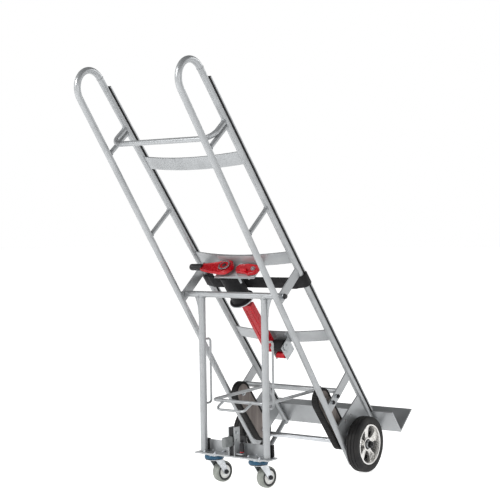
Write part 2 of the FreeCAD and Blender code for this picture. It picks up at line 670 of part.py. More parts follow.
def upper_reel():
    """A flanged reel of rolled webbing on a spindle that ends in a ratchet ring."""
    z = REEL_Z
    roll = rod(V(REEL_X, REEL_Y, z[0]), V(REEL_X, REEL_Y, z[1] - 4), REEL_ROLL_R)
    flange = rod(V(REEL_X, REEL_Y, z[0] - 3), V(REEL_X, REEL_Y, z[0]), REEL_R)
    spindle = rod(V(REEL_X, REEL_Y, z[0]), V(REEL_X, REEL_Y, LEVER_Z[1] + 6), SPINDLE_R)
    ring = rod(V(REEL_X, REEL_Y, LEVER_Z[1] + 1), V(REEL_X, REEL_Y, LEVER_Z[1] + 6), 20)
    return fuse(roll, flange, spindle, ring)


def upper_lever():
    """A flat red lever on the spindle, with a round grip at its end."""
    body = rod(V(REEL_X, REEL_Y, LEVER_Z[0]), V(REEL_X, REEL_Y, LEVER_Z[1]), 32)
    arm = box((REEL_X - 100, REEL_X), (REEL_Y - 24, REEL_Y + 14), LEVER_Z)
    middle = (LEVER_Z[0] + LEVER_Z[1]) / 2
    grip = rod(V(REEL_X - UPPER_LEVER_L, REEL_Y, middle), V(REEL_X - 100, REEL_Y, middle), 12)
    bore = rod(V(REEL_X, REEL_Y, LEVER_Z[0]), V(REEL_X, REEL_Y, LEVER_Z[1]), SPINDLE_R + RUNNING_FIT)
    return fuse(body, arm, grip).cut(bore)


def lower_winder_base():
    """A bracket under the lower cross strap: back plate, two cheeks and the lever's pin."""
    z = (STRAP_Z["lower"] - 62, STRAP_Z["lower"] + STRAP_H / 2)
    x = LOWER_CHEEK_X
    back = box(x, (STRAP_BACK_Y - BRACKET_T, STRAP_BACK_Y), z)
    deep = LOWER_WINDER_Y - LOWER_SPOOL_R - 4
    y = (deep, STRAP_BACK_Y)
    low = (z[0], LOWER_WINDER_Z + 14)
    cheeks = [box((a, a + BRACKET_T), y, low) for a in (x[0], x[1] - BRACKET_T)]
    hole_r = LOWER_PIN_R + RUNNING_FIT
    base = fuse(back, *cheeks).cut(x_rod(x, LOWER_WINDER_Y, LOWER_WINDER_Z, hole_r))
    stub = x_rod((LOWER_LEVER_X[0], x[0]), LOWER_WINDER_Y, LOWER_WINDER_Z, LOWER_PIN_R)
    return fuse(base, stub)


def lower_spool():
    gap = BRACKET_T + FACE_GAP
    a, b = LOWER_CHEEK_X
    roll = x_rod((a + gap, b - gap), LOWER_WINDER_Y, LOWER_WINDER_Z, LOWER_SPOOL_R)
    return fuse(roll, x_rod((a + FACE_GAP, b + 6), LOWER_WINDER_Y, LOWER_WINDER_Z, LOWER_PIN_R))


def lower_lever():
    """A red channel, open towards the truck, hinged on the bracket's pin."""
    y = (LOWER_WINDER_Y - 12, LOWER_WINDER_Y + 12)
    body = box(LOWER_LEVER_X, y, LOWER_LEVER_Z)
    inside = (LOWER_LEVER_X[0] + 3, LOWER_LEVER_X[1] - 3)
    body = body.cut(box(inside, (y[0] + 3, y[1]), LOWER_LEVER_Z))
    hole_r = LOWER_PIN_R + RUNNING_FIT
    return body.cut(x_rod(LOWER_LEVER_X, LOWER_WINDER_Y, LOWER_WINDER_Z, hole_r))


def webbing():
    """The belt from the reel to each front rail, wrapped once round the rail and its bumper."""
    back = FRONT_Y - RAIL_R - 5
    front = FRONT_Y + RAIL_R + CHANNEL_D + RUBBER_PROUD
    x_in, x_out = RAIL_X - CHANNEL_W / 2 - 2, RAIL_X + CHANNEL_W / 2 + 2
    t = WEBBING_T
    wrap = box((x_in - t, x_out + t), (back - t, front + t), WEBBING_Z)
    wrap = wrap.cut(box((x_in, x_out), (back, front), WEBBING_Z))
    band = box((0, x_in), (back - t, back), WEBBING_Z)
    right = fuse(wrap, band)
    return fuse(right, mirrored(right))


# ---- the nodes ----
truck = {
    "handle_crossbar": handle_crossbar(),
    "lower_crossbar": x_rod((-PLATE_IN_X, PLATE_IN_X), LOWER_BAR_Y, LOWER_BAR_Z, LOWER_BAR_R),
    "axle": axle(),
    "toe_plate": toe_plate(),
    "frame_bolts": frame_bolts(),
    "upper_winder_base": upper_winder_base(),
    "upper_reel": upper_reel(),
    "upper_lever": upper_lever(),
    "lower_winder_base": lower_winder_base(),
    "lower_spool": lower_spool(),
    "lower_lever": lower_lever(),
    "webbing": webbing(),
}
for name, z in STRAP_Z.items():
    truck[f"cross_strap_{name}"] = cross_strap(z)
struts = [strut(z, s) for z in (UPPER_STRUT_Z, MIDDLE_STRUT_Z) for s in (-1, 1)]
truck["side_struts"] = Part.makeCompound(struts)
truck["foot_bars"] = Part.makeCompound([side(foot_bar(), s) for s in (-1, 1)])
truck["bumper_channels"] = Part.makeCompound([side(bumper_channel(), s) for s in (-1, 1)])
truck["bumper_rubbers"] = Part.makeCompound([side(bumper_rubber(), s) for s in (-1, 1)])

pivot_holes = [(PIVOT_Y, PIVOT_Z, PIVOT_BOLT_R + BOLT_CLEARANCE)]
lower_holes = [(y, z, CRAWLER_BOLT_R + BOLT_CLEARANCE) for y, z in lower_plate_bolts()]
lower_plate = side_plate(LOWER_PLATE_Z, lower_holes)
truck["lower_plates"] = Part.makeCompound([side(lower_plate, s) for s in (-1, 1)])
truck["axle_gussets"] = Part.makeCompound([side(axle_gusset(), s) for s in (-1, 1)])
for name, sign in SIDES.items():
    truck[f"front_rail_{name}"] = side(tube(*front_rail_axis(), RAIL_R, RAIL_WALL), sign)
    truck[f"rear_rail_{name}"] = side(tube(*rear_rail_axis(), RAIL_R, RAIL_WALL), sign)
    truck[f"handle_loop_{name}"] = side(handle_loop(), sign)
    truck[f"pivot_plate_{name}"] = side(side_plate(PIVOT_Z, pivot_holes), sign)
    truck[f"crawler_frame_{name}"] = side(crawler_frame(), sign)
    truck[f"crawler_belt_{name}"] = side(crawler_belt(), sign)
    truck[f"lower_roller_{name}"] = side(crawler_roller(CRAWLER_Z[0]), sign)
    truck[f"upper_roller_{name}"] = side(crawler_roller(CRAWLER_Z[1]), sign)
    truck[f"wheel_hub_{name}"] = on_axle(wheel_hub(), sign)
    truck[f"wheel_tyre_{name}"] = on_axle(tyre(WHEEL_R, RIM_R, WHEEL_W, TYRE_SHOULDER), sign)
nodes = {name: stand(shape) for name, shape in truck.items()}

nodes["leg_pivot_tube"] = leg_pivot_tube()
nodes["leg_gussets"] = Part.makeCompound([side(leg_gusset(), s) for s in (-1, 1)])
nodes["leg_base_angle"] = leg_base_angle()
nodes["guide_rods"] = Part.makeCompound([side(guide_rod(), s) for s in (-1, 1)])
nodes["leg_buffers"] = Part.makeCompound([side(leg_buffer(), s) for s in (-1, 1)])
nodes["latch_bracket"] = latch_bracket()
nodes["foot_pedal"] = foot_pedal()
nodes["latch_knob"] = latch_knob()
nodes["brace_rod"] = brace_rod()
nodes["foot_loop"] = foot_loop()
nodes["caster_mounts"] = Part.makeCompound([on_caster(caster_mount(), s) for s in (-1, 1)])
for name, sign in SIDES.items():
    nodes[f"leg_post_{name}"] = side(leg_post(), sign)
    nodes[f"caster_fork_{name}"] = on_caster(caster_fork(), sign)
    nodes[f"caster_wheel_{name}"] = on_caster_axle(caster_wheel(), sign)
    caster_tyre = tyre(CASTER_WHEEL_R, CASTER_RIM_R, CASTER_WHEEL_W, 6)
    nodes[f"caster_tyre_{name}"] = on_caster_axle(caster_tyre, sign)

# The row's origin is on the floor, under the middle of the whole truck.
whole = Part.makeCompound(list(nodes.values())).optimalBoundingBox(True, False)
CENTRE_Y = (whole.YMin + whole.YMax) / 2
os.makedirs("parts", exist_ok=True)
for name, shape in nodes.items():
    shape.translate(V(0, -CENTRE_Y, 0))
    shape.exportStep(f"parts/{name}.step")
print(len(nodes), "nodes", "centre y", round(CENTRE_Y, 2), "height", round(whole.ZMax, 1))
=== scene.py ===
# %% [markdown]
# # A stair-climbing hand truck
# The truck leans back on two big wheels and a fold-down leg with two casters. Its frames, plates,
# rails and axles were drawn as solids, and they are loaded here as they are. What Blender adds is
# the surface: powder coat, zinc, cast aluminium, rubber and webbing, and the small shaped pieces
# that a plain solid leaves out. The whole thing is in metres, with Z up and Y towards the load.

# %% Load the frame
import json
from math import atan2, cos, degrees, hypot, pi, radians, sin

import bpy
from mathutils import Matrix, Vector


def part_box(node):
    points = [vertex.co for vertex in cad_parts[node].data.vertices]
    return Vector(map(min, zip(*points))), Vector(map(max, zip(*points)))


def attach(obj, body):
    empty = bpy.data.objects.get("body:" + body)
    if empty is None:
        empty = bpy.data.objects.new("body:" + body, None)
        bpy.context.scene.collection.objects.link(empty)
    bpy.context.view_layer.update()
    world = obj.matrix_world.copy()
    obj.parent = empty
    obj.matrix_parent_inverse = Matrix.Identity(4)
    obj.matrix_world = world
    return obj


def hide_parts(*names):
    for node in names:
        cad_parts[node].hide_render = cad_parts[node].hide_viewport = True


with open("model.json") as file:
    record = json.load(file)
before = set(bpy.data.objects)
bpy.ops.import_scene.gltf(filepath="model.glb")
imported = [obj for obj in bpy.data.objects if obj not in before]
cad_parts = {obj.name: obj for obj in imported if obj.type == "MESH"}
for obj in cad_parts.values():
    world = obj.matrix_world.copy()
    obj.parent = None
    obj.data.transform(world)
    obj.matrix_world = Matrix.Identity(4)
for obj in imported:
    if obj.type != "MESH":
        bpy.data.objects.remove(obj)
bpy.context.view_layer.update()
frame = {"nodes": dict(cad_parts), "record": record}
nodes = frame["nodes"]

# %% [markdown]
# ## Places on the truck
# The side frames lean back by 39.5 degrees, so a piece on them is easiest to make upright, in the
# truck's own axes, and to tip back afterwards. The main wheel's centre is a good anchor, because
# its place along the frame is known. The leg stands upright, so its pieces need no tipping.

# %% Anchors and small helpers
TILT = radians(39.5)
SIDES = {"left": -1, "right": 1}


def centre(node):
    low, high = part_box(node)
    return Vector([(a + b) / 2 for a, b in zip(low, high)])


AXLE = centre("wheel_tyre_right")
AXLE_ON_TRUCK = Vector((0, -0.158, 0.081))
TIP = Matrix.Rotation(TILT, 4, "X")
TRUCK = Matrix.Translation(Vector((0, AXLE.y, AXLE.z)) - TIP @ AXLE_ON_TRUCK) @ TIP
RAIL_X = centre("front_rail_right").x
print("truck origin", [round(v, 4) for v in TRUCK.translation])


def deselect():
    if bpy.context.mode != "OBJECT":
        bpy.ops.object.mode_set(mode="OBJECT")
    bpy.ops.object.select_all(action="DESELECT")


def pick(obj):
    deselect()
    obj.select_set(True)
    bpy.context.view_layer.objects.active = obj


def named(name):
    obj = bpy.context.object
    obj.name = name
    obj.data.name = name
    return obj


def settle(obj, place=Matrix.Identity(4)):
    """Moves a piece to its place and puts that place into its mesh."""
    pick(obj)
    obj.matrix_world = place @ obj.matrix_world
    bpy.ops.object.transform_apply(location=True, rotation=True, scale=True)
    return obj


def tidy(obj, angle=35, merge=1e-5):
    """Joins loose points, turns every face outwards and smooths the gentle edges."""
    pick(obj)
    bpy.ops.object.mode_set(mode="EDIT")
    bpy.ops.mesh.select_all(action="SELECT")
    bpy.ops.mesh.remove_doubles(threshold=merge)
    bpy.ops.mesh.normals_make_consistent(inside=False)
    bpy.ops.object.mode_set(mode="OBJECT")
    bpy.ops.object.shade_smooth_by_angle(angle=radians(angle))
    return obj


def bevelled(obj, width, segments=2, angle=40):
    pick(obj)
    bevel = obj.modifiers.new("edges", "BEVEL")
    bevel.width = width
    bevel.segments = segments
    bevel.limit_method = "ANGLE"
    bevel.angle_limit = radians(angle)
    bpy.ops.object.modifier_apply(modifier=bevel.name)
    return tidy(obj)


def join(name, pieces):
    deselect()
    for piece in pieces:
        piece.select_set(True)
    bpy.context.view_layer.objects.active = pieces[0]
    bpy.ops.object.join()
    return named(name)


def copy(obj, name, place=Matrix.Identity(4)):
    pick(obj)
    bpy.ops.object.duplicate()
    return settle(named(name), place)


def shifted(x=0.0, y=0.0, z=0.0):
    return Matrix.Translation((x, y, z))


def facing(sign):
    """Keeps a piece pointing along +X for 1, and turns it round to -X for -1."""
    return Matrix.Rotation(0 if sign > 0 else pi, 4, "Z")


# %% [markdown]
# ## Shapes that are turned or cut
# Wheels, washers and rings are turned: a circle is extruded ring by ring and each new ring is
# scaled to its radius, which is what a lathe does to a bar. Plates are cut: a flat outline is
# drawn, extruded to its thickness and its edges are broken with a bevel.

# %% Turned and cut pieces
def turned(name, profile, segments=64, closed=True):
    """A piece turned about X. The profile is (radius, x) in metres, round a closed section."""
    deselect()
    radius, x = profile[0]
    bpy.ops.mesh.primitive_circle_add(
        vertices=segments, radius=radius, location=(x, 0, 0), rotation=(0, pi / 2, 0),
        fill_type="NOTHING" if closed else "NGON")
    obj = named(name)
    bpy.ops.object.mode_set(mode="EDIT")
    bpy.ops.mesh.select_all(action="SELECT")
    steps = profile[1:] + profile[:1] if closed else profile[1:]
    extrude = bpy.ops.mesh.extrude_edges_move if closed else bpy.ops.mesh.extrude_region_move
    for new_radius, new_x in steps:
        extrude(TRANSFORM_OT_translate={"value": (new_x - x, 0, 0)})
        k = new_radius / radius
        bpy.ops.transform.resize(value=(1, k, k), center_override=(new_x, 0, 0))
        radius, x = new_radius, new_x
    bpy.ops.object.mode_set(mode="OBJECT")
    settle(obj)
    return tidy(obj)


def plate(name, outline, thickness, normal="X"):
    """A flat plate. Its outline is (a, b) pairs in the two directions across the normal."""
    deselect()
    bpy.ops.mesh.primitive_circle_add(vertices=len(outline), radius=1, fill_type="NGON")
    obj = named(name)
    for vertex, (a, b) in zip(obj.data.vertices, outline):
        vertex.co = {"X": (0, a, b), "Y": (a, 0, b), "Z": (a, b, 0)}[normal]
    bpy.ops.object.mode_set(mode="EDIT")
    bpy.ops.mesh.select_all(action="SELECT")
    shift = {"X": (thickness, 0, 0), "Y": (0, thickness, 0), "Z": (0, 0, thickness)}[normal]
    bpy.ops.mesh.extrude_region_move(TRANSFORM_OT_translate={"value": shift})
    bpy.ops.object.mode_set(mode="OBJECT")
    return tidy(obj)


def block(name, low, high, bevel=0.001):
    """A bevelled block between two corners."""
    deselect()
    middle = [(a + b) / 2 for a, b in zip(low, high)]
    bpy.ops.mesh.primitive_cube_add(size=1, location=middle)
    obj = named(name)
    obj.scale = [b - a for a, b in zip(low, high)]
    settle(obj)
    return bevelled(obj, bevel, 3)


def arc(centre_a, centre_b, radius, start, end, steps):
    """Points on an arc, for an outline."""
    angles = [radians(start + (end - start) * k / steps) for k in range(steps + 1)]
    return [(centre_a + radius * cos(a), centre_b + radius * sin(a)) for a in angles]


def other_half(half):
    """The other half of a section that is the same on both sides of its wheel."""
    return [(radius, -x) for radius, x in reversed(half)]


def hex_bolt(name, size, head=True):
    """A hexagon head with a chamfered top on a washer, pointing along +X."""
    bore, thickness = size * 0.45, size * 0.16
    washer = [(bore, 0), (size, 0), (size, thickness), (bore, thickness)]
    pieces = [turned(name + "_washer", washer, 32)]
    deselect()
    bpy.ops.mesh.primitive_cylinder_add(
        vertices=6, radius=size * 0.86, depth=size * 0.6,
        location=(size * 0.45, 0, 0), rotation=(0, pi / 2, 0))
    nut = settle(named(name + "_hex"))
    pieces.append(bevelled(nut, size * 0.08, 2))
    if not head:
        end = [(size * 0.4, size * 0.7), (size * 0.4, size * 1.0), (size * 0.32, size * 1.08)]
        pieces.append(turned(name + "_end", end, 24, closed=False))
    return join(name, pieces)


# %% [markdown]
# ## Finishes
# Each finish is built the same way. A slow noise moves the colour between a darker and a lighter
# tone, a second one moves the roughness, and a fine one is the grain in the surface. Stretching
# the noise along one direction turns it into brushing. All of it is placed by Object coordinates,
# so that it stays put on the piece and has its real scale: 100 is a pattern 10 mm wide.

# %% A finish
def finish(name, dark, light, rough, grain, depth, metal=0.0, cloud=18.0, clear=0.0, shine=0.5,
           stretch=(1, 1, 1), chips=None, spin=0.0):
    material = bpy.data.materials.new(name)
    material.use_nodes = True
    tree = material.node_tree
    shader = tree.nodes["Principled BSDF"]
    shader.inputs["Metallic"].default_value = metal
    shader.inputs["Specular IOR Level"].default_value = shine
    shader.inputs["Coat Weight"].default_value = clear
    shader.inputs["Coat Roughness"].default_value = 0.15
    coordinates = tree.nodes.new("ShaderNodeTexCoord")
    mapping = tree.nodes.new("ShaderNodeMapping")
    mapping.inputs["Rotation"].default_value = (-spin, 0, 0)
    mapping.inputs["Scale"].default_value = stretch
    tree.links.new(coordinates.outputs["Object"], mapping.inputs["Vector"])

    def noise(scale, detail):
        node = tree.nodes.new("ShaderNodeTexNoise")
        node.inputs["Scale"].default_value = scale
        node.inputs["Detail"].default_value = detail
        tree.links.new(mapping.outputs["Vector"], node.inputs["Vector"])
        return node.outputs["Fac"]

    ramp = tree.nodes.new("ShaderNodeValToRGB")
    ramp.color_ramp.elements[0].position = 0.3
    ramp.color_ramp.elements[1].position = 0.7
    ramp.color_ramp.elements[0].color = (*dark, 1)
    ramp.color_ramp.elements[1].color = (*light, 1)
    tree.links.new(noise(cloud, 5), ramp.inputs["Fac"])
    colour = ramp.outputs["Color"]
    if chips:
        worn = tree.nodes.new("ShaderNodeValToRGB")
        worn.color_ramp.elements[0].position = chips[1]
        worn.color_ramp.elements[1].position = chips[1] + 0.03
        tree.links.new(noise(chips[2], 8), worn.inputs["Fac"])
        mix = tree.nodes.new("ShaderNodeMix")
        mix.data_type = "RGBA"
        tree.links.new(worn.outputs["Color"], mix.inputs["Factor"])
        tree.links.new(colour, mix.inputs["A"])
        mix.inputs["B"].default_value = (*chips[0], 1)
        colour = mix.outputs["Result"]
    tree.links.new(colour, shader.inputs["Base Color"])
    spread = tree.nodes.new("ShaderNodeMapRange")
    spread.inputs["To Min"].default_value = rough[0]
    spread.inputs["To Max"].default_value = rough[1]
    tree.links.new(noise(cloud * 4, 4), spread.inputs["Value"])
    tree.links.new(spread.outputs["Result"], shader.inputs["Roughness"])
    bump = tree.nodes.new("ShaderNodeBump")
    bump.inputs["Strength"].default_value = 0.5
    bump.inputs["Distance"].default_value = depth
    tree.links.new(noise(grain, 3), bump.inputs["Height"])
    tree.links.new(bump.outputs["Normal"], shader.inputs["Normal"])
    return material


paint = finish("silver_powder_coat", (0.305, 0.316, 0.324), (0.365, 0.378, 0.387), (0.28, 0.36), 1400,
               0.00006, metal=0.5, clear=0.1, chips=((0.24, 0.24, 0.24), 0.80, 60))
zinc = finish("bright_zinc", (0.42, 0.44, 0.46), (0.60, 0.62, 0.64), (0.20, 0.36), 500, 0.0001,
              metal=1.0, cloud=60)
bare_steel = finish("zinc_plated_plate", (0.37, 0.39, 0.40), (0.49, 0.51, 0.52), (0.32, 0.46), 300,
                    0.0001, metal=0.6, cloud=40, stretch=(0.15, 1, 1), spin=TILT)
axle_steel = finish("turned_steel", (0.46, 0.48, 0.50), (0.64, 0.66, 0.68), (0.24, 0.42), 500, 0.0001,
                    metal=1.0, cloud=40, stretch=(0.3, 1, 1))
dark_steel = finish("brushed_dark_steel", (0.085, 0.072, 0.065), (0.22, 0.19, 0.175), (0.38, 0.56), 400,
                    0.0002, metal=0.5, cloud=50, stretch=(1, 1, 0.06), spin=TILT)
black_oxide = finish("black_oxide_steel", (0.020, 0.020, 0.022), (0.045, 0.045, 0.048), (0.30, 0.44),
                     500, 0.0001, metal=0.6, cloud=60)
cast = finish("polished_cast_aluminium", (0.62, 0.61, 0.59), (0.84, 0.83, 0.81), (0.20, 0.36), 700,
              0.0002, metal=0.8, cloud=30)
channel_metal = finish("mill_aluminium", (0.34, 0.35, 0.36), (0.48, 0.49, 0.50), (0.28, 0.42), 400,
                       0.0001, metal=0.7, cloud=40, stretch=(1, 1, 0.05), spin=TILT)
tyre_rubber = finish("tyre_rubber", (0.010, 0.010, 0.011), (0.026, 0.025, 0.024), (0.55, 0.75), 1200,
                     0.0003, shine=0.22, cloud=25, chips=((0.07, 0.066, 0.06), 0.72, 45))
belt_rubber = finish("belt_rubber", (0.006, 0.006, 0.006), (0.015, 0.0145, 0.014), (0.55, 0.75), 1500,
                     0.0003, shine=0.18, cloud=40)
soft_rubber = finish("bumper_rubber", (0.006, 0.006, 0.006), (0.014, 0.014, 0.014), (0.50, 0.70), 1400,
                     0.0002, shine=0.2, cloud=30)
black_plastic = finish("black_nylon", (0.008, 0.008, 0.009), (0.018, 0.018, 0.020), (0.34, 0.5), 1300,
                       0.0002, shine=0.3, cloud=40)
red_enamel = finish("red_enamel", (0.34, 0.002, 0.007), (0.42, 0.003, 0.010), (0.22, 0.34), 1600,
                    0.00003, clear=0.15, shine=0.3, cloud=30, chips=((0.20, 0.12, 0.11), 0.80, 90))
blue_seal = finish("blue_bearing_seal", (0.003, 0.032, 0.070), (0.008, 0.075, 0.140), (0.22, 0.36), 700,
                   0.0001, cloud=40, clear=0.2, shine=0.3)
grey_rubber = finish("grey_rubber", (0.17, 0.18, 0.165), (0.26, 0.275, 0.25), (0.55, 0.70), 1200,
                     0.0002, shine=0.25, cloud=50, chips=((0.12, 0.12, 0.11), 0.72, 70))
pale_plastic = finish("pale_wheel_centre", (0.55, 0.55, 0.53), (0.68, 0.68, 0.66), (0.32, 0.46), 900,
                      0.0001, cloud=60)
pedal_grey = finish("grey_tread_pad", (0.115, 0.125, 0.125), (0.19, 0.20, 0.20), (0.45, 0.6), 900,
                    0.0003, cloud=60)
weld = finish("weld_bead", (0.22, 0.23, 0.24), (0.32, 0.335, 0.345), (0.35, 0.5), 300, 0.0008,
              metal=0.3, cloud=120)
print("finishes:", len([m for m in bpy.data.materials if m.use_nodes]))

# %% [markdown]
# The webbing is a close plain weave, so two sets of fine bands are crossed: one set runs along the
# belt and one across it. The belt follows the truck, so the bands are turned to lean with it.

# %% Woven webbing
def webbing_finish():
    material = finish("black_webbing", (0.006, 0.006, 0.007), (0.014, 0.014, 0.015), (0.62, 0.82), 2200,
                      0.0002, cloud=60, spin=TILT)
    tree = material.node_tree
    shader = tree.nodes["Principled BSDF"]
    shader.inputs["Sheen Weight"].default_value = 0.06
    shader.inputs["Specular IOR Level"].default_value = 0.15
    mapping = next(n for n in tree.nodes if n.type == "MAPPING")
    heights = []
    for direction, scale in (("X", 420), ("Z", 260)):
        wave = tree.nodes.new("ShaderNodeTexWave")
        wave.bands_direction = direction
        wave.inputs["Scale"].default_value = scale / 3
        tree.links.new(mapping.outputs["Vector"], wave.inputs["Vector"])
        heights.append(wave.outputs["Fac"])
    cross = tree.nodes.new("ShaderNodeMath")
    cross.operation = "MULTIPLY"
    for socket, height in zip(cross.inputs, heights):
        tree.links.new(height, socket)
    bump = next(n for n in tree.nodes if n.type == "BUMP")
    bump.inputs["Distance"].default_value = 0.0006
    tree.links.new(cross.outputs[0], bump.inputs["Height"])
    return material


webbing_black = webbing_finish()


def coat(obj, material):
    """Gives a piece its finish and the material slot that it takes it from."""
    obj.data.materials.clear()
    obj.data.materials.append(material)
    return obj


def add(obj, material, slot, body, *stands_for):
    coat(obj, material)
    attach(obj, body)
    if stands_for:
        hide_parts(*stands_for)
    return obj


# %% [markdown]
# ## The solids that stay
# Tubes, straps, plates and rods are already the right shape. They only need their finish: silver
# powder coat on all that is welded, bare or zinc-plated steel on what is turned or folded.

# %% Finishes for the loaded solids
SOLID_FINISH = {
    "frame_paint": paint, "bare_steel": bare_steel, "bright_steel": axle_steel, "dark_steel": dark_steel,
    "zinc": zinc, "channel_metal": channel_metal, "cast_aluminium": cast, "red_paint": red_enamel,
    "tyre_rubber": tyre_rubber, "belt_rubber": belt_rubber, "bumper_rubber": soft_rubber,
    "caster_rubber": grey_rubber, "caster_rim": pale_plastic, "caster_blue": blue_seal,
    "roller_plastic": black_plastic, "knob_plastic": black_plastic, "pedal_grey": pedal_grey,
    "webbing_black": webbing_black,
}
for part in frame["record"]["subparts"]:
    solid = nodes[part["node"]]
    solid.data.materials.clear()
    solid.data.materials.append(SOLID_FINISH[part["material_slot"]])

# %% [markdown]
# ## Main wheels
# A solid rubber tyre on a cast wheel. The tyre is turned from its section: rounded shoulders, a
# slightly crowned tread and three shallow grooves. The casting has a rim with a rolled lip, five
# tapered spokes with a sunken face each, and a boss with a raised ring round the bearing. A dark
# dish behind the spokes is painted shade: it makes the gaps between them look dark. A black shield
# covers the bearing.

# %% Tyre
def tyre(name):
    half = [(0.0735, 0.0205), (0.0745, 0.0228), (0.0800, 0.0238), (0.0880, 0.0240), (0.0940, 0.0232),
            (0.0982, 0.0208), (0.1004, 0.0172), (0.1011, 0.0142), (0.0990, 0.0136), (0.0990, 0.0120),
            (0.1013, 0.0114), (0.1015, 0.0022), (0.0992, 0.0014)]
    return turned(name, half + other_half(half), 112)


def wheel_place(side):
    return shifted(*centre(f"wheel_tyre_{side}")) @ facing(SIDES[side])


for side in SIDES:
    ring = settle(tyre(f"main_tyre_{side}"), wheel_place(side))
    add(ring, tyre_rubber, "tyre_rubber", f"main_wheel_{side}", f"wheel_tyre_{side}")
print("tyres turned")


# %% Cast wheel
def sink_face(obj, direction, border, depth):
    """Insets the largest face that looks along a direction and pushes it in."""
    pick(obj)
    bpy.ops.object.mode_set(mode="EDIT")
    bpy.ops.mesh.select_all(action="DESELECT")
    bpy.ops.object.mode_set(mode="OBJECT")
    facing = [p for p in obj.data.polygons if p.normal.dot(Vector(direction)) > 0.95]
    max(facing, key=lambda p: p.area).select = True
    bpy.ops.object.mode_set(mode="EDIT")
    bpy.ops.mesh.select_mode(type="FACE")
    bpy.ops.mesh.inset(thickness=border, depth=0)
    bpy.ops.transform.translate(value=[-c * depth for c in direction])
    bpy.ops.mesh.select_mode(type="VERT")
    bpy.ops.object.mode_set(mode="OBJECT")
    return obj


SPOKES = 5
SHIELD = [(0.0100, 0.0098), (0.0186, 0.0098), (0.0186, 0.0112), (0.0165, 0.0118), (0.0100, 0.0114)]
# A black disc behind the spokes: painted shade that darkens the gaps between them.
PAINTED_SHADE_DISH = [(0.0238, -0.0120), (0.0652, -0.0120), (0.0652, -0.0100), (0.0238, -0.0100)]


def cast_wheel(name):
    rim = turned(name + "_rim", [
        (0.0732, -0.0225), (0.0732, 0.0225), (0.0722, 0.0236), (0.0700, 0.0238), (0.0682, 0.0228),
        (0.0668, 0.0190), (0.0655, 0.0060), (0.0655, -0.0060), (0.0668, -0.0190), (0.0690, -0.0228)], 96)
    boss = turned(name + "_boss", [
        (0.0098, -0.0268), (0.0205, -0.0268), (0.0225, -0.0240), (0.0240, -0.0100), (0.0240, 0.0060),
        (0.0250, 0.0085), (0.0245, 0.0122), (0.0225, 0.0132), (0.0195, 0.0128), (0.0185, 0.0100),
        (0.0098, 0.0100)], 64)
    outline = [(-0.0100, 0.021), (0.0100, 0.021), (0.0105, 0.036), (0.0135, 0.054), (0.0190, 0.0655),
               (-0.0190, 0.0655), (-0.0135, 0.054), (-0.0105, 0.036)]
    spoke = plate(name + "_spoke", outline, 0.013)
    settle(spoke, shifted(-0.0050, 0, 0))
    sink_face(spoke, (1, 0, 0), 0.0040, 0.0025)
    bevelled(spoke, 0.0012, 3, 30)
    turns = [Matrix.Rotation(2 * pi * k / SPOKES, 4, "X") for k in range(1, SPOKES)]
    return join(name, [rim, boss, spoke] + [copy(spoke, name + "_arm", turn) for turn in turns])


for side in SIDES:
    casting = settle(cast_wheel(f"cast_wheel_{side}"), wheel_place(side))
    add(casting, cast, "cast_aluminium", f"main_wheel_{side}", f"wheel_hub_{side}")
    shield = turned(f"bearing_shield_{side}", SHIELD, 48)
    add(settle(shield, wheel_place(side)), black_plastic, "roller_plastic", f"main_wheel_{side}")
    # The black disc behind the spokes is painted shade in the gaps between them.
    painted_shade_dish = turned(f"wheel_painted_shade_dish_{side}", PAINTED_SHADE_DISH, 64)
    add(settle(painted_shade_dish, wheel_place(side)), soft_rubber, "tyre_rubber", f"main_wheel_{side}")
    nut = hex_bolt(f"axle_nut_{side}", 0.0135, head=False)
    settle(nut, wheel_place(side) @ shifted(0.0215, 0, 0))
    add(nut, black_oxide, "dark_steel", "truck_frame")
print("wheels cast")

# %% [markdown]
# ## Crawler belts
# For stairs, each side has a belt round two rollers. The belt is a flat band bent to an oblong, so
# it starts as that outline, is extruded to its width and gets its thickness from Solidify. Every
# second field is then inset and raised, which makes the low lugs that grip a stair's edge.

# %% Belts with lugs
CRAWLER_Y, CRAWLER_LOW, CRAWLER_HIGH = -0.180, 0.131, 0.331
CRAWLER_X = centre("crawler_belt_right").x
BELT_R, BELT_WIDTH, BELT_WALL = 0.0420, 0.024, 0.0065
FIELDS_ROUND, FIELDS_ALONG = 14, 20
PIN_HALF = 0.0122


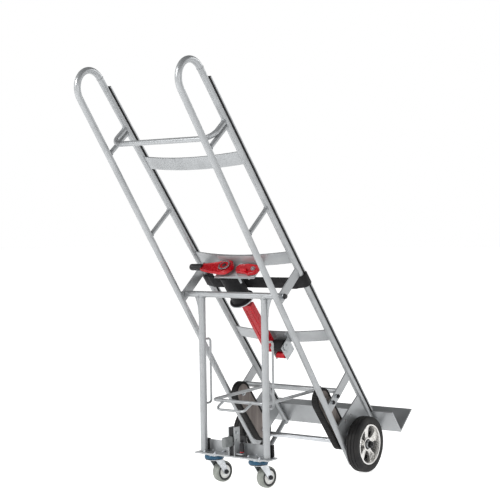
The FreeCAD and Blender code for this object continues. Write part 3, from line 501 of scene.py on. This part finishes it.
def belt(name, x_middle):
    outline = arc(CRAWLER_Y, CRAWLER_HIGH, BELT_R, 0, 180, FIELDS_ROUND)
    run = CRAWLER_HIGH - CRAWLER_LOW
    drops = [run * k / FIELDS_ALONG for k in range(1, FIELDS_ALONG)]
    outline += [(CRAWLER_Y - BELT_R, CRAWLER_HIGH - drop) for drop in drops]
    outline += arc(CRAWLER_Y, CRAWLER_LOW, BELT_R, 180, 360, FIELDS_ROUND)
    outline += [(CRAWLER_Y + BELT_R, CRAWLER_LOW + drop) for drop in drops]
    deselect()
    bpy.ops.mesh.primitive_circle_add(vertices=len(outline), radius=1, fill_type="NOTHING")
    obj = named(name)
    for vertex, (y, z) in zip(obj.data.vertices, outline):
        vertex.co = (x_middle - BELT_WIDTH / 2, y, z)
    bpy.ops.object.mode_set(mode="EDIT")
    bpy.ops.mesh.select_all(action="SELECT")
    bpy.ops.mesh.extrude_edges_move(TRANSFORM_OT_translate={"value": (BELT_WIDTH, 0, 0)})
    bpy.ops.mesh.select_all(action="SELECT")
    bpy.ops.mesh.normals_make_consistent(inside=False)
    bpy.ops.object.mode_set(mode="OBJECT")
    lug_fields = len(obj.data.polygons)
    wall = obj.modifiers.new("thickness", "SOLIDIFY")
    wall.thickness = BELT_WALL
    wall.offset = -1
    bpy.ops.object.modifier_apply(modifier=wall.name)
    for polygon in obj.data.polygons:
        polygon.select = polygon.index < lug_fields and polygon.index % 2 == 0
    for vertex in obj.data.vertices:
        vertex.select = False
    bpy.ops.object.mode_set(mode="EDIT")
    bpy.ops.mesh.select_mode(type="FACE")
    bpy.ops.mesh.inset(thickness=0.0012, depth=0.0019, use_individual=True)
    bpy.ops.mesh.select_mode(type="VERT")
    bpy.ops.object.mode_set(mode="OBJECT")
    return tidy(bevelled(obj, 0.0004, 2, 50), 25)


for side, sign in SIDES.items():
    loop = settle(belt(f"lugged_belt_{side}", sign * CRAWLER_X), TRUCK)
    add(loop, belt_rubber, "belt_rubber", "truck_frame", f"crawler_belt_{side}")
    ends = []
    for z in (CRAWLER_LOW, CRAWLER_HIGH):
        for face in (-1, 1):
            place = shifted(sign * CRAWLER_X + face * PIN_HALF, CRAWLER_Y, z) @ facing(face)
            ends.append(settle(hex_bolt("roller_end", 0.0095), place))
    heads = settle(join(f"roller_pin_heads_{side}", ends), TRUCK)
    add(heads, zinc, "zinc", "truck_frame")
print("belts made")

# %% [markdown]
# ## Casters
# Each caster has a zinc top plate, a blue seal over the ball race, a pressed fork and a soft grey
# tyre on a pale centre with a black band. The rings are turned; the top plate is cut with round
# corners and carries four bolts. The casters are turned ten degrees, as they came to rest.

# %% Where the casters are
LEG_Y = centre("leg_post_right").y
CASTER_X, CASTER_FORWARD = 0.0955, 0.006
CASTER_TRAIL, CASTER_WHEEL_R = 0.039, 0.0375
CASTER_YAW = radians(10)


def caster_place(side):
    stem = shifted(SIDES[side] * CASTER_X, LEG_Y + CASTER_FORWARD, 0)
    return stem @ Matrix.Rotation(-CASTER_YAW, 4, "Z")


def upright(obj, lift=0.0):
    """Turns a piece made about X so that it stands about Z."""
    return settle(obj, shifted(0, 0, lift) @ Matrix.Rotation(-pi / 2, 4, "Y"))


def rounded_outline(half_a, half_b, corner, steps=6):
    outline = []
    for start, a, b in ((0, 1, 1), (90, -1, 1), (180, -1, -1), (270, 1, -1)):
        outline += arc(a * (half_a - corner), b * (half_b - corner), corner, start, start + 90, steps)
    return outline


print("caster stems", [round(v, 4) for v in caster_place("right").translation])

# %% Caster wheels and nuts
TYRE_HALF = [(0.0272, 0.0142), (0.0300, 0.0150), (0.0330, 0.0148), (0.0356, 0.0128), (0.0368, 0.0096),
             (0.0374, 0.0050)]
CENTRE_HALF = [(0.0042, 0.0155), (0.0085, 0.0155), (0.0098, 0.0138), (0.0185, 0.0122), (0.0222, 0.0145),
               (0.0271, 0.0143)]
BAND = [(0.0232, 0.0140), (0.0240, 0.0154), (0.0290, 0.0158), (0.0305, 0.0152), (0.0300, 0.0140)]
SKIRT = [(0.0200, 0.0880), (0.0305, 0.0884), (0.0325, 0.0868), (0.0318, 0.0852), (0.0300, 0.0848),
         (0.0200, 0.0852)]
FORK_HALF = 0.0201


def rolling_pieces(side, place):
    """The tyre, centre, bands and nuts of one caster, and the skirt round its ball race."""
    axle_place = place @ shifted(0, CASTER_TRAIL, CASTER_WHEEL_R)
    swivel, rolling = f"caster_swivel_{side}", f"caster_wheel_{side}"

    section = TYRE_HALF + [(CASTER_WHEEL_R, 0.0)] + other_half(TYRE_HALF)
    grey = settle(turned(f"soft_tyre_{side}", section, 72), axle_place)
    add(grey, grey_rubber, "caster_rubber", rolling, f"caster_tyre_{side}")

    section = CENTRE_HALF + other_half(CENTRE_HALF)
    middle = settle(turned(f"caster_centre_{side}", section, 64), axle_place)
    add(middle, pale_plastic, "caster_rim", rolling, f"caster_wheel_{side}")

    bands = [turned("band", [(r, face * x) for r, x in BAND], 64) for face in (-1, 1)]
    bands = settle(join(f"black_bands_{side}", bands), axle_place)
    add(bands, black_plastic, "roller_plastic", rolling)

    nuts = [settle(hex_bolt("nut", 0.0085, head=False), shifted(face * FORK_HALF) @ facing(face))
            for face in (-1, 1)]
    nuts = settle(join(f"caster_nuts_{side}", nuts), axle_place)
    add(nuts, black_oxide, "dark_steel", swivel)

    skirt = settle(upright(turned(f"race_skirt_{side}", SKIRT, 64)), place)
    add(skirt, zinc, "zinc", swivel)


# %% Seals and top plates
SEAL = [(0.0130, 0.0954), (0.0330, 0.0954), (0.0330, 0.0898), (0.0345, 0.0900), (0.0350, 0.0930),
        (0.0345, 0.0990), (0.0325, 0.1028), (0.0130, 0.1028)]
TOP_PLATE_Z, PLATE_BOLT_Z = 0.103, 0.1110


def top_plate(place):
    """One caster's top plate and its four bolts."""
    top = plate("top", rounded_outline(0.036, 0.030, 0.006), 0.0030, "Z")
    pieces = [settle(bevelled(top, 0.0006), place @ shifted(0, 0, TOP_PLATE_Z))]
    for a in (-1, 1):
        for b in (-1, 1):
            bolt = upright(hex_bolt("plate_bolt", 0.0065, head=False))
            pieces.append(settle(bolt, place @ shifted(a * 0.027, b * 0.020, PLATE_BOLT_Z)))
    return pieces


seals, tops = [], []
for side in SIDES:
    place = caster_place(side)
    rolling_pieces(side, place)
    seals.append(settle(upright(turned("seal", SEAL, 64)), place))
    tops += top_plate(place)
add(join("caster_seals", seals), blue_seal, "caster_blue", "support_leg", "caster_mounts")
add(join("caster_top_plates", tops), zinc, "zinc", "support_leg")
print("casters made")

# %% [markdown]
# ## Latch at the foot of the leg
# A grey tread pad on a dark lever works the latch, and a fluted black knob with a red ring at its
# foot sets its pin. The pad is a block with ribs across it for grip. The knob is turned, and its
# flutes are scallops, made by pulling every fourth column of points inwards. Two black blocks in
# the bracket above and below the lever are painted shade: they make the inside of the bracket dark.

# %% Tread pad and lever
LATCH_PIN_Y, LATCH_PIN_Z = LEG_Y - 0.012, 0.166
LATCH_LEFT, LATCH_RIGHT = -0.0080, 0.0180
PAD_FRONT, PAD_TOP = LATCH_PIN_Y - 0.040, LATCH_PIN_Z + 0.015
pad_back = LATCH_PIN_Y - 0.058
corners = (-0.0040, pad_back, PAD_TOP - 0.034), (0.0140, LATCH_PIN_Y - 0.0165, PAD_TOP - 0.0015)
pad = [block("pedal_block", *corners, 0.0025)]
for k in range(5):
    z, y = PAD_TOP - 0.0310 + 0.0060 * k, pad_back + 0.0035 + 0.0078 * k
    low, high = (-0.0020, pad_back - 0.0002, z), (0.0120, pad_back + 0.0015, z + 0.0028)
    pad.append(block("rib", low, high, 0.0006))
    low, high = (-0.0025, y, PAD_TOP - 0.0030), (0.0125, y + 0.0040, PAD_TOP - 0.0002)
    pad.append(block("rib", low, high, 0.0008))
add(join("tread_pad", pad), pedal_grey, "pedal_grey", "foot_pedal", "foot_pedal")
y, z = LATCH_PIN_Y, LATCH_PIN_Z
outline = [(PAD_FRONT - 0.002, z - 0.005), (y - 0.012, z - 0.0055)] + arc(y, z, 0.0100, 215, 325, 8)
outline += [(y + 0.046, z - 0.005), (y + 0.049, z - 0.018), (y + 0.058, z - 0.018), (y + 0.060, z + 0.004)]
outline += [(y + 0.055, z + 0.0055)] + arc(y, z, 0.0100, 35, 145, 8) + [(PAD_FRONT - 0.002, z + 0.005)]
arm = settle(plate("pedal_arm", outline, 0.014), shifted(-0.002, 0, 0))
add(bevelled(arm, 0.0010), black_oxide, "dark_steel", "foot_pedal")
print("pedal made, its top at", round(PAD_TOP, 4))


# %% Fluted knob
def fluted_knob(name, low_z, height, radius):
    columns, flute_depth = 32, 0.86
    profile = [(radius * 0.5, 0), (radius, 0.001), (radius, height * 0.75), (radius * 0.85, height * 0.93),
               (radius * 0.45, height)]
    knob = turned(name, profile, columns, closed=False)
    for vertex in knob.data.vertices:
        column = round(degrees(atan2(vertex.co.z, vertex.co.y)) * columns / 360)
        if column % 4 == 0 and 0.0005 < vertex.co.x < height * 0.8:
            vertex.co.y *= flute_depth
            vertex.co.z *= flute_depth
    return upright(knob, low_z)


KNOB = centre("latch_knob")
knob_low, knob_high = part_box("latch_knob")
knob_at = shifted(KNOB.x, KNOB.y, 0)
stem = upright(turned("knob_stem", [(0.0035, 0), (0.0035, 0.016)], 24, closed=False), knob_low[2])
stem = settle(stem, knob_at)
grip_low = knob_high[2] - 0.0365
grip = settle(bevelled(fluted_knob("knob_grip", grip_low, 0.0335, 0.0075), 0.0004), knob_at)
add(join("fluted_knob", [grip, stem]), black_plastic, "knob_plastic", "latch_knob", "latch_knob")
ring = [(0.0050, 0), (0.0076, 0.0003), (0.0079, 0.0016), (0.0077, 0.0030), (0.0050, 0.0034)]
tip = settle(upright(turned("knob_tip", ring, 40), grip_low + 0.0004), knob_at)
add(tip, red_enamel, "red_paint", "latch_knob")
print("knob made, its grip from", round(grip_low, 4))

# %% Painted shade in the latch bracket, and bolts
# Black blocks in the latch bracket above and below the lever are painted shade: the inside of the bracket
# is dark.
bracket_shade_blocks = [block("bracket_shade_block", (-0.0049, LEG_Y - back, z), (0.0149, LEG_Y + 0.0025, top), 0.0015)
           for back, z, top in ((0.0200, 0.1115, 0.1500), (0.0245, 0.1785, 0.2080))]
add(join("latch_bracket_shade", bracket_shade_blocks), black_plastic, "knob_plastic", "support_leg")
bolts = []
for x, face in ((LATCH_LEFT, -1), (LATCH_RIGHT, 1)):
    bolts.append(settle(hex_bolt("latch_bolt", 0.0060), shifted(x, LATCH_PIN_Y, 0.192) @ facing(face)))
add(join("latch_bolts", bolts), bare_steel, "bare_steel", "support_leg")
print("latch made")

# %% [markdown]
# ## Upper strap winder
# The strap that holds a load is wound on a reel behind the middle cross strap. A red lever turns
# the reel through a ratchet. The roll of webbing shows its layers at its ends, so its section is
# stepped. The lever is a pressed plate with a sunken face and ends in a black grip. The pawl beside
# it is the same kind of plate, on the frame.

# %% A wound roll and a toothed ring
REEL_X, REEL_Y = -0.045, -0.074
ON_REEL = TRUCK @ shifted(REEL_X, REEL_Y)


def wound_roll(name, core, outer, low, high, layers):
    """A roll of webbing: a closed section whose ends step in and out layer by layer."""
    pitch = (outer - core) / layers
    top, bottom = [], []
    for k in range(layers):
        inset = 0.0006 if k % 2 else 0.0
        r = core + pitch * k
        top += [(r, high - inset), (r + pitch * 0.8, high - inset)]
        bottom += [(r, low + inset), (r + pitch * 0.8, low + inset)]
    return turned(name, bottom + list(reversed(top)), 72)


def toothed_ring(name, outer, thickness, teeth, bore):
    """A ratchet ring: saw teeth round its edge, and a round bore cut through with Boolean."""
    outline = []
    root, step = outer - 0.0022, 360 / teeth
    for k in range(teeth):
        for share, r in ((0, root), (0.15, root), (0.7, outer), (0.85, outer)):
            a = radians(360 * k / teeth + share * step)
            outline.append((r * cos(a), r * sin(a)))
    ring = bevelled(plate(name, outline, thickness, "Z"), 0.0003, 1)
    deselect()
    bpy.ops.mesh.primitive_cylinder_add(vertices=48, radius=bore, depth=thickness * 4)
    cutter = bpy.context.object
    pick(ring)
    cut = ring.modifiers.new("bore", "BOOLEAN")
    cut.object = cutter
    bpy.ops.object.modifier_apply(modifier=cut.name)
    bpy.data.objects.remove(cutter)
    return tidy(ring)


# %% Reel and ratchet
def on_reel(name, profile, segments, closed=True):
    """A turned piece that stands on the reel's spindle."""
    return settle(upright(turned(name, profile, segments, closed)), ON_REEL)


roll = upright(wound_roll("webbing_roll", 0.0080, 0.0360, 0.7185, 0.8375, 11))
add(settle(roll, ON_REEL), webbing_black, "webbing_black", "upper_reel", "upper_reel")
rim = [(0.0070, 0.7130), (0.0440, 0.7130), (0.0460, 0.7145), (0.0460, 0.7185), (0.0445, 0.7185),
       (0.0435, 0.7155), (0.0070, 0.7155)]
add(on_reel("reel_flange", rim, 96), bare_steel, "bare_steel", "upper_reel")
cheek = [(0.0370, 0.7187), (0.0436, 0.7187), (0.0442, 0.7200), (0.0436, 0.7212), (0.0370, 0.7212)]
add(on_reel("reel_cheek", cheek, 96), black_plastic, "knob_plastic", "upper_reel")
spindle = [(0.0080, 0.8380), (0.0080, 0.8795), (0.0066, 0.8812)]
spindle = on_reel("spindle", spindle, 32, closed=False)
ratchet = settle(toothed_ring("ratchet_ring", 0.0225, 0.0035, 18, 0.0165), shifted(0, 0, 0.8768))
add(settle(ratchet, ON_REEL), zinc, "zinc", "upper_reel")
add(spindle, black_oxide, "dark_steel", "upper_reel")
disc = [(0.0082, 0.8752), (0.0172, 0.8752), (0.0172, 0.8782), (0.0160, 0.8790), (0.0120, 0.8778),
        (0.0082, 0.8784)]
add(on_reel("red_ratchet_disc", disc, 48), red_enamel, "red_paint", "upper_reel")
print("reel made")

# %% Cover plate and its posts
outline = arc(REEL_X, REEL_Y, 0.034, 90, 250, 12) + [(0.000, -0.102)]
outline += arc(0.064, -0.078, 0.024, 270, 400, 10) + [(0.050, -0.046)]
cover = settle(plate("winder_cover", outline, 0.0030, "Z"), shifted(0, 0, 0.8462))
pieces = [bevelled(cover, 0.0008)]
for x, y, low in ((0.008, -0.092, 0.8130), (0.046, -0.086, 0.8260)):
    profile = [(0.0036, low), (0.0042, low + 0.003), (0.0042, 0.8400), (0.0070, 0.8402), (0.0070, 0.8426)]
    pieces.append(settle(upright(turned("post", profile, 24, closed=False)), shifted(x, y, 0)))
for x, y in ((0.006, -0.092), (0.004, -0.058)):
    pieces.append(settle(upright(hex_bolt("cover_bolt", 0.0060), 0.8490), shifted(x, y, 0)))
add(settle(join("upper_winder_cover", pieces), TRUCK), bare_steel, "bare_steel", "truck_frame")
print("cover made of", len(pieces), "pieces")

# %% Upper lever and its grip
outline = arc(0, 0, 0.032, -75, 120, 16) + [(-0.030, 0.027), (-0.070, 0.018), (-0.103, 0.0135)]
outline += [(-0.106, 0.000), (-0.103, -0.0140), (-0.060, -0.0235), (-0.015, -0.031)]
lever = plate("red_lever", outline, 0.0125, "Z")
settle(lever, shifted(0, 0, 0.8605))
sink_face(lever, (0, 0, 1), 0.0040, 0.0022)
bevelled(lever, 0.0012, 3, 30)
collar = [(0.0240, 0.8705), (0.0285, 0.8705), (0.0285, 0.8735), (0.0272, 0.8745), (0.0250, 0.8745),
          (0.0240, 0.8735)]
collar = upright(turned("collar", collar, 48))
lever = settle(join("upper_red_lever", [lever, collar]), ON_REEL)
add(lever, red_enamel, "red_paint", "upper_lever", "upper_lever")
sleeve = [(0.0060, 0), (0.0100, 0.001), (0.0118, 0.006)]
for k in range(6):
    sleeve += [(0.0120, 0.009 + 0.006 * k), (0.0113, 0.0105 + 0.006 * k), (0.0120, 0.012 + 0.006 * k)]
sleeve += [(0.0120, 0.048), (0.0106, 0.053), (0.0060, 0.055)]
grip = turned("lever_grip", sleeve, 48, closed=False)
settle(grip, shifted(-0.100, 0, 0.8670) @ facing(-1))
add(settle(grip, ON_REEL), black_plastic, "knob_plastic", "upper_lever")
print("upper lever made")

# %% Red pawl
PAWL_X, PAWL_Y = 0.072, -0.074
outline = [(-0.004, -0.066), (0.004, -0.052), (0.040, -0.048)] + arc(PAWL_X, PAWL_Y, 0.022, 60, -60, 10)
outline += [(0.058, -0.098), (0.042, -0.090), (0.004, -0.086)]
pawl = plate("pawl", outline, 0.012, "Z")
settle(pawl, shifted(0, 0, 0.8515))
sink_face(pawl, (0, 0, 1), 0.0035, 0.0020)
bevelled(pawl, 0.0010, 3, 30)
tab = block("pawl_tab", (0.026, -0.088, 0.8560), (0.052, -0.080, 0.8720), 0.0015)
add(settle(join("red_pawl", [pawl, tab]), TRUCK), red_enamel, "red_paint", "truck_frame")
bolt = settle(upright(hex_bolt("pawl_bolt", 0.0085, head=False), 0.8620), shifted(PAWL_X, PAWL_Y))
add(settle(bolt, TRUCK), zinc, "zinc", "truck_frame")
print("upper winder made")

# %% [markdown]
# ## Lower strap winder
# A second, smaller winder sits under the lower cross strap. Its long red handle is a folded
# channel, open towards the truck, so it starts as a block whose front face is inset and pushed in.
# Its top end is a little narrower than its foot.

# %% Lower handle
WINDER_X, WINDER_Y, WINDER_Z = 0.014, -0.070, 0.484
HANDLE_X, HANDLE_TAPER = -0.0365, 0.80
handle = block("handle", (-0.061, WINDER_Y - 0.012, 0.460), (-0.012, WINDER_Y + 0.012, 0.689), 0.0001)
for vertex in handle.data.vertices:
    if vertex.co.z > 0.68:
        vertex.co.x = HANDLE_X + (vertex.co.x - HANDLE_X) * HANDLE_TAPER
sink_face(handle, (0, 1, 0), 0.0032, 0.0205)
tidy(bevelled(handle, 0.0016, 3, 35))
ribs = [handle]
for x in (-0.047, -0.026):
    low, high = (x - 0.0025, WINDER_Y - 0.0135, 0.520), (x + 0.0025, WINDER_Y - 0.0110, 0.665)
    ribs.append(block("rib", low, high, 0.0010))
add(settle(join("lower_red_handle", ribs), TRUCK), red_enamel, "red_paint", "lower_lever", "lower_lever")
print("lower handle made")

# %% Drum, ratchet and dog
drum = wound_roll("drum", 0.0065, 0.0220, -0.0205, 0.0205, 7)
drum = settle(drum, shifted(WINDER_X, WINDER_Y, WINDER_Z))
add(settle(drum, TRUCK), webbing_black, "webbing_black", "lower_spool", "lower_spool")
pin = turned("spool_pin", [(0.0060, -0.0235), (0.0060, 0.0300), (0.0050, 0.0312)], 32, closed=False)
gear = toothed_ring("gear", 0.0190, 0.0030, 16, 0.0055)
gear = settle(gear, Matrix.Rotation(pi / 2, 4, "Y"))
gear = settle(gear, shifted(0.0262))
axle_pieces = settle(join("lower_ratchet", [pin, gear]), shifted(WINDER_X, WINDER_Y, WINDER_Z))
add(settle(axle_pieces, TRUCK), bare_steel, "bare_steel", "lower_spool")
outline = [(-0.102, 0.452), (-0.094, 0.442), (-0.072, 0.444), (-0.060, 0.452), (-0.066, 0.460),
           (-0.090, 0.462)]
dog = bevelled(settle(plate("dog", outline, 0.036), shifted(-0.004, 0, 0)), 0.0012)
add(settle(dog, TRUCK), red_enamel, "red_paint", "truck_frame")
bolts = []
for x in (-0.004, 0.032):
    at = shifted(x, -0.0425, 0.512) @ Matrix.Rotation(-pi / 2, 4, "Z")
    bolts.append(settle(hex_bolt("bracket_bolt", 0.0055), at))
add(settle(join("lower_winder_bolts", bolts), TRUCK), zinc, "zinc", "truck_frame")
print("lower winder made")

# %% [markdown]
# ## Webbing
# The strap is flat, woven and sewn, so it is modelled directly: one line of points is drawn as the
# strap runs, from a loop round one rail to a loop round the other, smoothed, and then extruded to
# the strap's width. Solidify gives it its thickness. The loops are closed with rows of stitches.

# %% Strap
STRAP_LOW, STRAP_WIDTH, STRAP_T = 0.738, 0.050, 0.0026


def eased(points, rounds=2):
    """Cuts the corners of a line of points, so that it bends as cloth does."""
    for _ in range(rounds):
        cut = [points[0]]
        for (a, b), (c, d) in zip(points, points[1:]):
            cut.append((a * 0.75 + c * 0.25, b * 0.75 + d * 0.25))
            cut.append((a * 0.25 + c * 0.75, b * 0.25 + d * 0.75))
        points = cut + [points[-1]]
    return points


def strip(name, points, low_z, width, thickness):
    deselect()
    bpy.ops.mesh.primitive_plane_add(size=0.001)
    obj = named(name)
    bpy.ops.object.mode_set(mode="EDIT")
    bpy.ops.mesh.select_all(action="SELECT")
    bpy.ops.mesh.merge(type="CENTER")
    bpy.ops.transform.translate(value=(points[0][0], points[0][1], low_z))
    for (a, b), (c, d) in zip(points, points[1:]):
        bpy.ops.mesh.extrude_vertices_move(TRANSFORM_OT_translate={"value": (c - a, d - b, 0)})
    bpy.ops.mesh.select_all(action="SELECT")
    bpy.ops.mesh.extrude_edges_move(TRANSFORM_OT_translate={"value": (0, 0, width)})
    bpy.ops.object.mode_set(mode="OBJECT")
    wall = obj.modifiers.new("thickness", "SOLIDIFY")
    wall.thickness = thickness
    wall.offset = 0
    bpy.ops.object.modifier_apply(modifier=wall.name)
    return bevelled(obj, thickness * 0.35, 2, 50)


BACK = -0.0345
right_loop = [
    (0.150, BACK), (0.184, BACK + 0.0002), (0.196, -0.0318), (0.208, -0.0300), (0.2185, -0.0262),
    (0.2240, -0.0170), (0.2243, -0.0060), (0.2225, 0.0010), (0.208, 0.0018), (0.1935, 0.0010),
    (0.1917, -0.0060), (0.1915, -0.0180), (0.1900, -0.0300), (0.182, -0.0372), (0.168, -0.0376),
    (0.130, -0.0376)]
left_loop = [(-x, y) for x, y in reversed(right_loop)]
middle = [(-0.080, BACK - 0.0006), (-0.020, BACK - 0.0010), (0.040, BACK - 0.0008), (0.100, BACK)]
run = eased(left_loop + middle + right_loop)
strap = strip("strap", run, STRAP_LOW, STRAP_WIDTH, STRAP_T)
strap_length = sum(hypot(c - a, d - b) for (a, b), (c, d) in zip(run, run[1:]))
add(settle(strap, TRUCK), webbing_black, "webbing_black", "truck_frame", "webbing")
print("webbing length", round(strap_length, 3), "m, width", STRAP_WIDTH)

stitch = block("stitch", (0, -0.0396, 0), (0.0036, -0.0386, 0.0007), 0.0003)
stitches = []
last = 7
for sign in (-1, 1):
    for column in range(last + 1):
        for row in range(last + 1):
            on_edge = row in (0, last) or column in (0, last)
            if not on_edge and column not in (row, last - row):
                continue
            x = sign * (0.134 + 0.0046 * column) - (0.0036 if sign < 0 else 0)
            z = STRAP_LOW + 0.006 + 0.0055 * row
            stitches.append(copy(stitch, "stitch", shifted(x, 0, z)))
bpy.data.objects.remove(stitch)
add(settle(join("strap_stitches", stitches), TRUCK), soft_rubber, "webbing_black", "truck_frame")
print("stitches sewn:", len(stitches))

# %% [markdown]
# ## Bumpers, rail plugs and bolts
# The load leans on black rubber strips that run up both front rails in a metal channel. The strip
# is extruded from a section with three ribs. A plain black strip behind the channel is painted
# shade: it darkens the gap between the tube and the channel. Plastic plugs close the rails' feet,
# and hexagon heads sit on the bolts of the side plates.

# %% Ribbed bumper strips
CHANNEL_LOW, CHANNEL_TOP = 0.089, 1.600
STRIP_HALF = 0.0112

ribs = [(-STRIP_HALF, -0.0042), (STRIP_HALF, -0.0042), (STRIP_HALF, -0.0004)]
for x in (0.0075, 0.0, -0.0075):
    ribs += [(x + 0.0030, 0.0000), (x + 0.0022, 0.0009), (x - 0.0022, 0.0009), (x - 0.0030, 0.0000),
             (x - 0.0037, -0.0012)]
ribs[-1] = (-STRIP_HALF, -0.0004)

strips = []
for sign in SIDES.values():
    outline = [(sign * RAIL_X + x, y) for x, y in ribs]
    strip_piece = plate("strip", outline, CHANNEL_TOP - CHANNEL_LOW, "Z")
    strips.append(settle(strip_piece, shifted(0, 0, CHANNEL_LOW)))
# Black strips behind the channels are painted shade in the gap between tube and channel.
for sign in SIDES.values():
    low = (sign * RAIL_X - 0.0126, -0.0115, CHANNEL_LOW)
    high = (sign * RAIL_X + 0.0126, -0.0062, CHANNEL_TOP)
    strips.append(block("gap_shade_strip", low, high, 0.0012))
bumpers = settle(join("ribbed_bumpers", strips), TRUCK)
add(bumpers, soft_rubber, "bumper_rubber", "truck_frame", "bumper_rubbers")
print("bumper strips", round(CHANNEL_TOP - CHANNEL_LOW, 3), "m long")

# %% Plugs and bolt heads
FRONT_RAIL_Y = -0.017
PLUG = [(0.0085, -0.0145), (0.0108, -0.0135), (0.0112, -0.0112), (0.0088, -0.0108), (0.0086, -0.0060)]
plugs = []
for sign in SIDES.values():
    plug = upright(turned("plug", PLUG, 40, closed=False))
    plugs.append(settle(plug, shifted(sign * RAIL_X, FRONT_RAIL_Y)))
add(settle(join("rail_plugs", plugs), TRUCK), black_plastic, "roller_plastic", "truck_frame")

heads = []
places = [(-0.150, 0.808, 0.2186, 0.0100), (-0.168, 0.308, 0.2156, 0.0080),
          (-0.132, 0.302, 0.2156, 0.0080), (-0.172, 0.143, 0.2156, 0.0080)]
for y, z, x, size in places:
    for sign in SIDES.values():
        place = shifted(sign * (x - 0.001), y, z) @ facing(sign)
        heads.append(settle(hex_bolt("head", size, head=False), place))
add(settle(join("side_bolt_heads", heads), TRUCK), black_oxide, "dark_steel", "truck_frame")
print("bolts placed")

# %% [markdown]
# ## Weld beads
# Everything on the frames is welded, and the beads show where tubes and straps meet. A bead is a
# thin ring round the end of a bar, made lumpy along its length as the pool of metal sets.

# %% Beads
REAR_FOOT_Y, LEAN = -0.222, 0.0517


def rear_y(z):
    return REAR_FOOT_Y + z * LEAN


def bead(radius, thickness, place):
    deselect()
    bpy.ops.mesh.primitive_torus_add(
        major_radius=radius, minor_radius=thickness, major_segments=48, minor_segments=8)
    ring = named("bead")
    for vertex in ring.data.vertices:
        a = atan2(vertex.co.y, vertex.co.x)
        swell = 1 + 0.012 * sin(18 * a) + 0.008 * sin(31 * a + 1.0)
        vertex.co.x *= swell
        vertex.co.y *= swell
    return settle(tidy(ring, 60), place)


ALONG_Y = Matrix.Rotation(pi / 2, 4, "X")
ALONG_X = Matrix.Rotation(pi / 2, 4, "Y")
STRUT_HEIGHTS = (1.427, 1.090)
HANDLE_BAR_Z, FOOT_BAR_Z, LOOP_Z = 1.444, 0, 1.643
RAIL_BACK = -0.0285
frame_beads = []
for sign in SIDES.values():
    x = sign * RAIL_X
    for z in STRUT_HEIGHTS:
        for y in (RAIL_BACK, rear_y(z) + 0.0115):
            frame_beads.append(bead(0.0084, 0.0016, shifted(x, y, z) @ ALONG_Y))
    for z in (HANDLE_BAR_Z, FOOT_BAR_Z):
        frame_beads.append(bead(0.0094, 0.0016, shifted(x, RAIL_BACK, z) @ ALONG_Y))
    frame_beads.append(bead(0.0104, 0.0015, shifted(sign * 0.2050, -0.102, 0.2955) @ ALONG_X))
    frame_beads.append(bead(0.0112, 0.0010, shifted(x, FRONT_RAIL_Y, LOOP_Z)))
add(settle(join("frame_welds", frame_beads), TRUCK), weld, "frame_paint", "truck_frame")

LEG_X = centre("leg_post_right").x
post_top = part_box("leg_pivot_tube")[0][2]
guide_low, guide_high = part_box("guide_rods")
GUIDE_R = 0.004
leg_beads = []
for sign in SIDES.values():
    x = sign * LEG_X
    leg_beads.append(bead(0.0130, 0.0018, shifted(x, LEG_Y, 0.1115)))
    leg_beads.append(bead(0.0128, 0.0016, shifted(x, LEG_Y, post_top - 0.001)))
    for z in (guide_low[2] + GUIDE_R, guide_high[2] - GUIDE_R):
        leg_beads.append(bead(0.0044, 0.0010, shifted(x, LEG_Y + 0.0128, z) @ ALONG_Y))
add(join("leg_welds", leg_beads), weld, "frame_paint", "support_leg")
print("welds:", len(frame_beads) + len(leg_beads))

# %% [markdown]
# ## Floor, light and camera
# The truck stands on a plain white floor. The sky is white near the horizon and dim overhead, as in
# a studio with white walls and a dark ceiling, so bars keep a light side and a dark side. The floor
# glows a little, which keeps it white from every side. One strong soft light from behind the
# truck's left gives the powder coat its highlights.

# %% Studio
deselect()
bpy.ops.mesh.primitive_plane_add(size=60, location=(0, 0, 0))
floor = named("floor")
floor_paint = finish("pale_floor", (0.88, 0.88, 0.88), (0.89, 0.89, 0.89), (0.8, 0.9), 200, 0.00001,
                     cloud=2, shine=0.1)
floor_shader = floor_paint.node_tree.nodes["Principled BSDF"]
floor_shader.inputs["Emission Color"].default_value = (1, 1, 1, 1)
floor_shader.inputs["Emission Strength"].default_value = 0.80
floor.data.materials.append(floor_paint)

world = bpy.data.worlds.new("studio")
bpy.context.scene.world = world
bpy.context.scene.view_settings.view_transform = "Standard"
world.use_nodes = True
sky = world.node_tree
direction = sky.nodes.new("ShaderNodeTexCoord")
height = sky.nodes.new("ShaderNodeSeparateXYZ")
shade = sky.nodes.new("ShaderNodeValToRGB")
shade.color_ramp.elements[0].position = 0.30
shade.color_ramp.elements[1].position = 0.50
shade.color_ramp.elements[0].color = (1.0, 1.0, 1.0, 1)
shade.color_ramp.elements[1].color = (0.14, 0.14, 0.14, 1)
sky.links.new(direction.outputs["Generated"], height.inputs["Vector"])
sky.links.new(height.outputs["Z"], shade.inputs["Fac"])
sky.links.new(shade.outputs["Color"], sky.nodes["Background"].inputs["Color"])
sky.nodes["Background"].inputs["Strength"].default_value = 1.0


def soft_light(name, place, target, size, watts):
    light = bpy.data.lights.new(name, "AREA")
    light.energy = watts
    light.size = size
    lamp = bpy.data.objects.new(name, light)
    bpy.context.scene.collection.objects.link(lamp)
    lamp.location = place
    lamp.rotation_euler = (Vector(target) - Vector(place)).to_track_quat("-Z", "Y").to_euler()


soft_light("key", (-1.6, -4.2, 3.6), (0, 0, 0.7), 1.4, 200)
soft_light("fill", (3.6, -2.2, 1.6), (0, 0, 0.6), 1.8, 20)
soft_light("back", (1.8, 3.2, 3.0), (0, 0, 0.8), 1.6, 30)

camera_data = bpy.data.cameras.new("camera")
camera_data.lens = 88.64
camera_data.sensor_width = 36
camera = bpy.data.objects.new("camera", camera_data)
bpy.context.scene.collection.objects.link(camera)
camera.location = (2.5471, -3.5078, 0.9250)
camera.rotation_euler = [radians(a) for a in (88.6226, 0.8654, 35.8133)]
bpy.context.scene.camera = camera
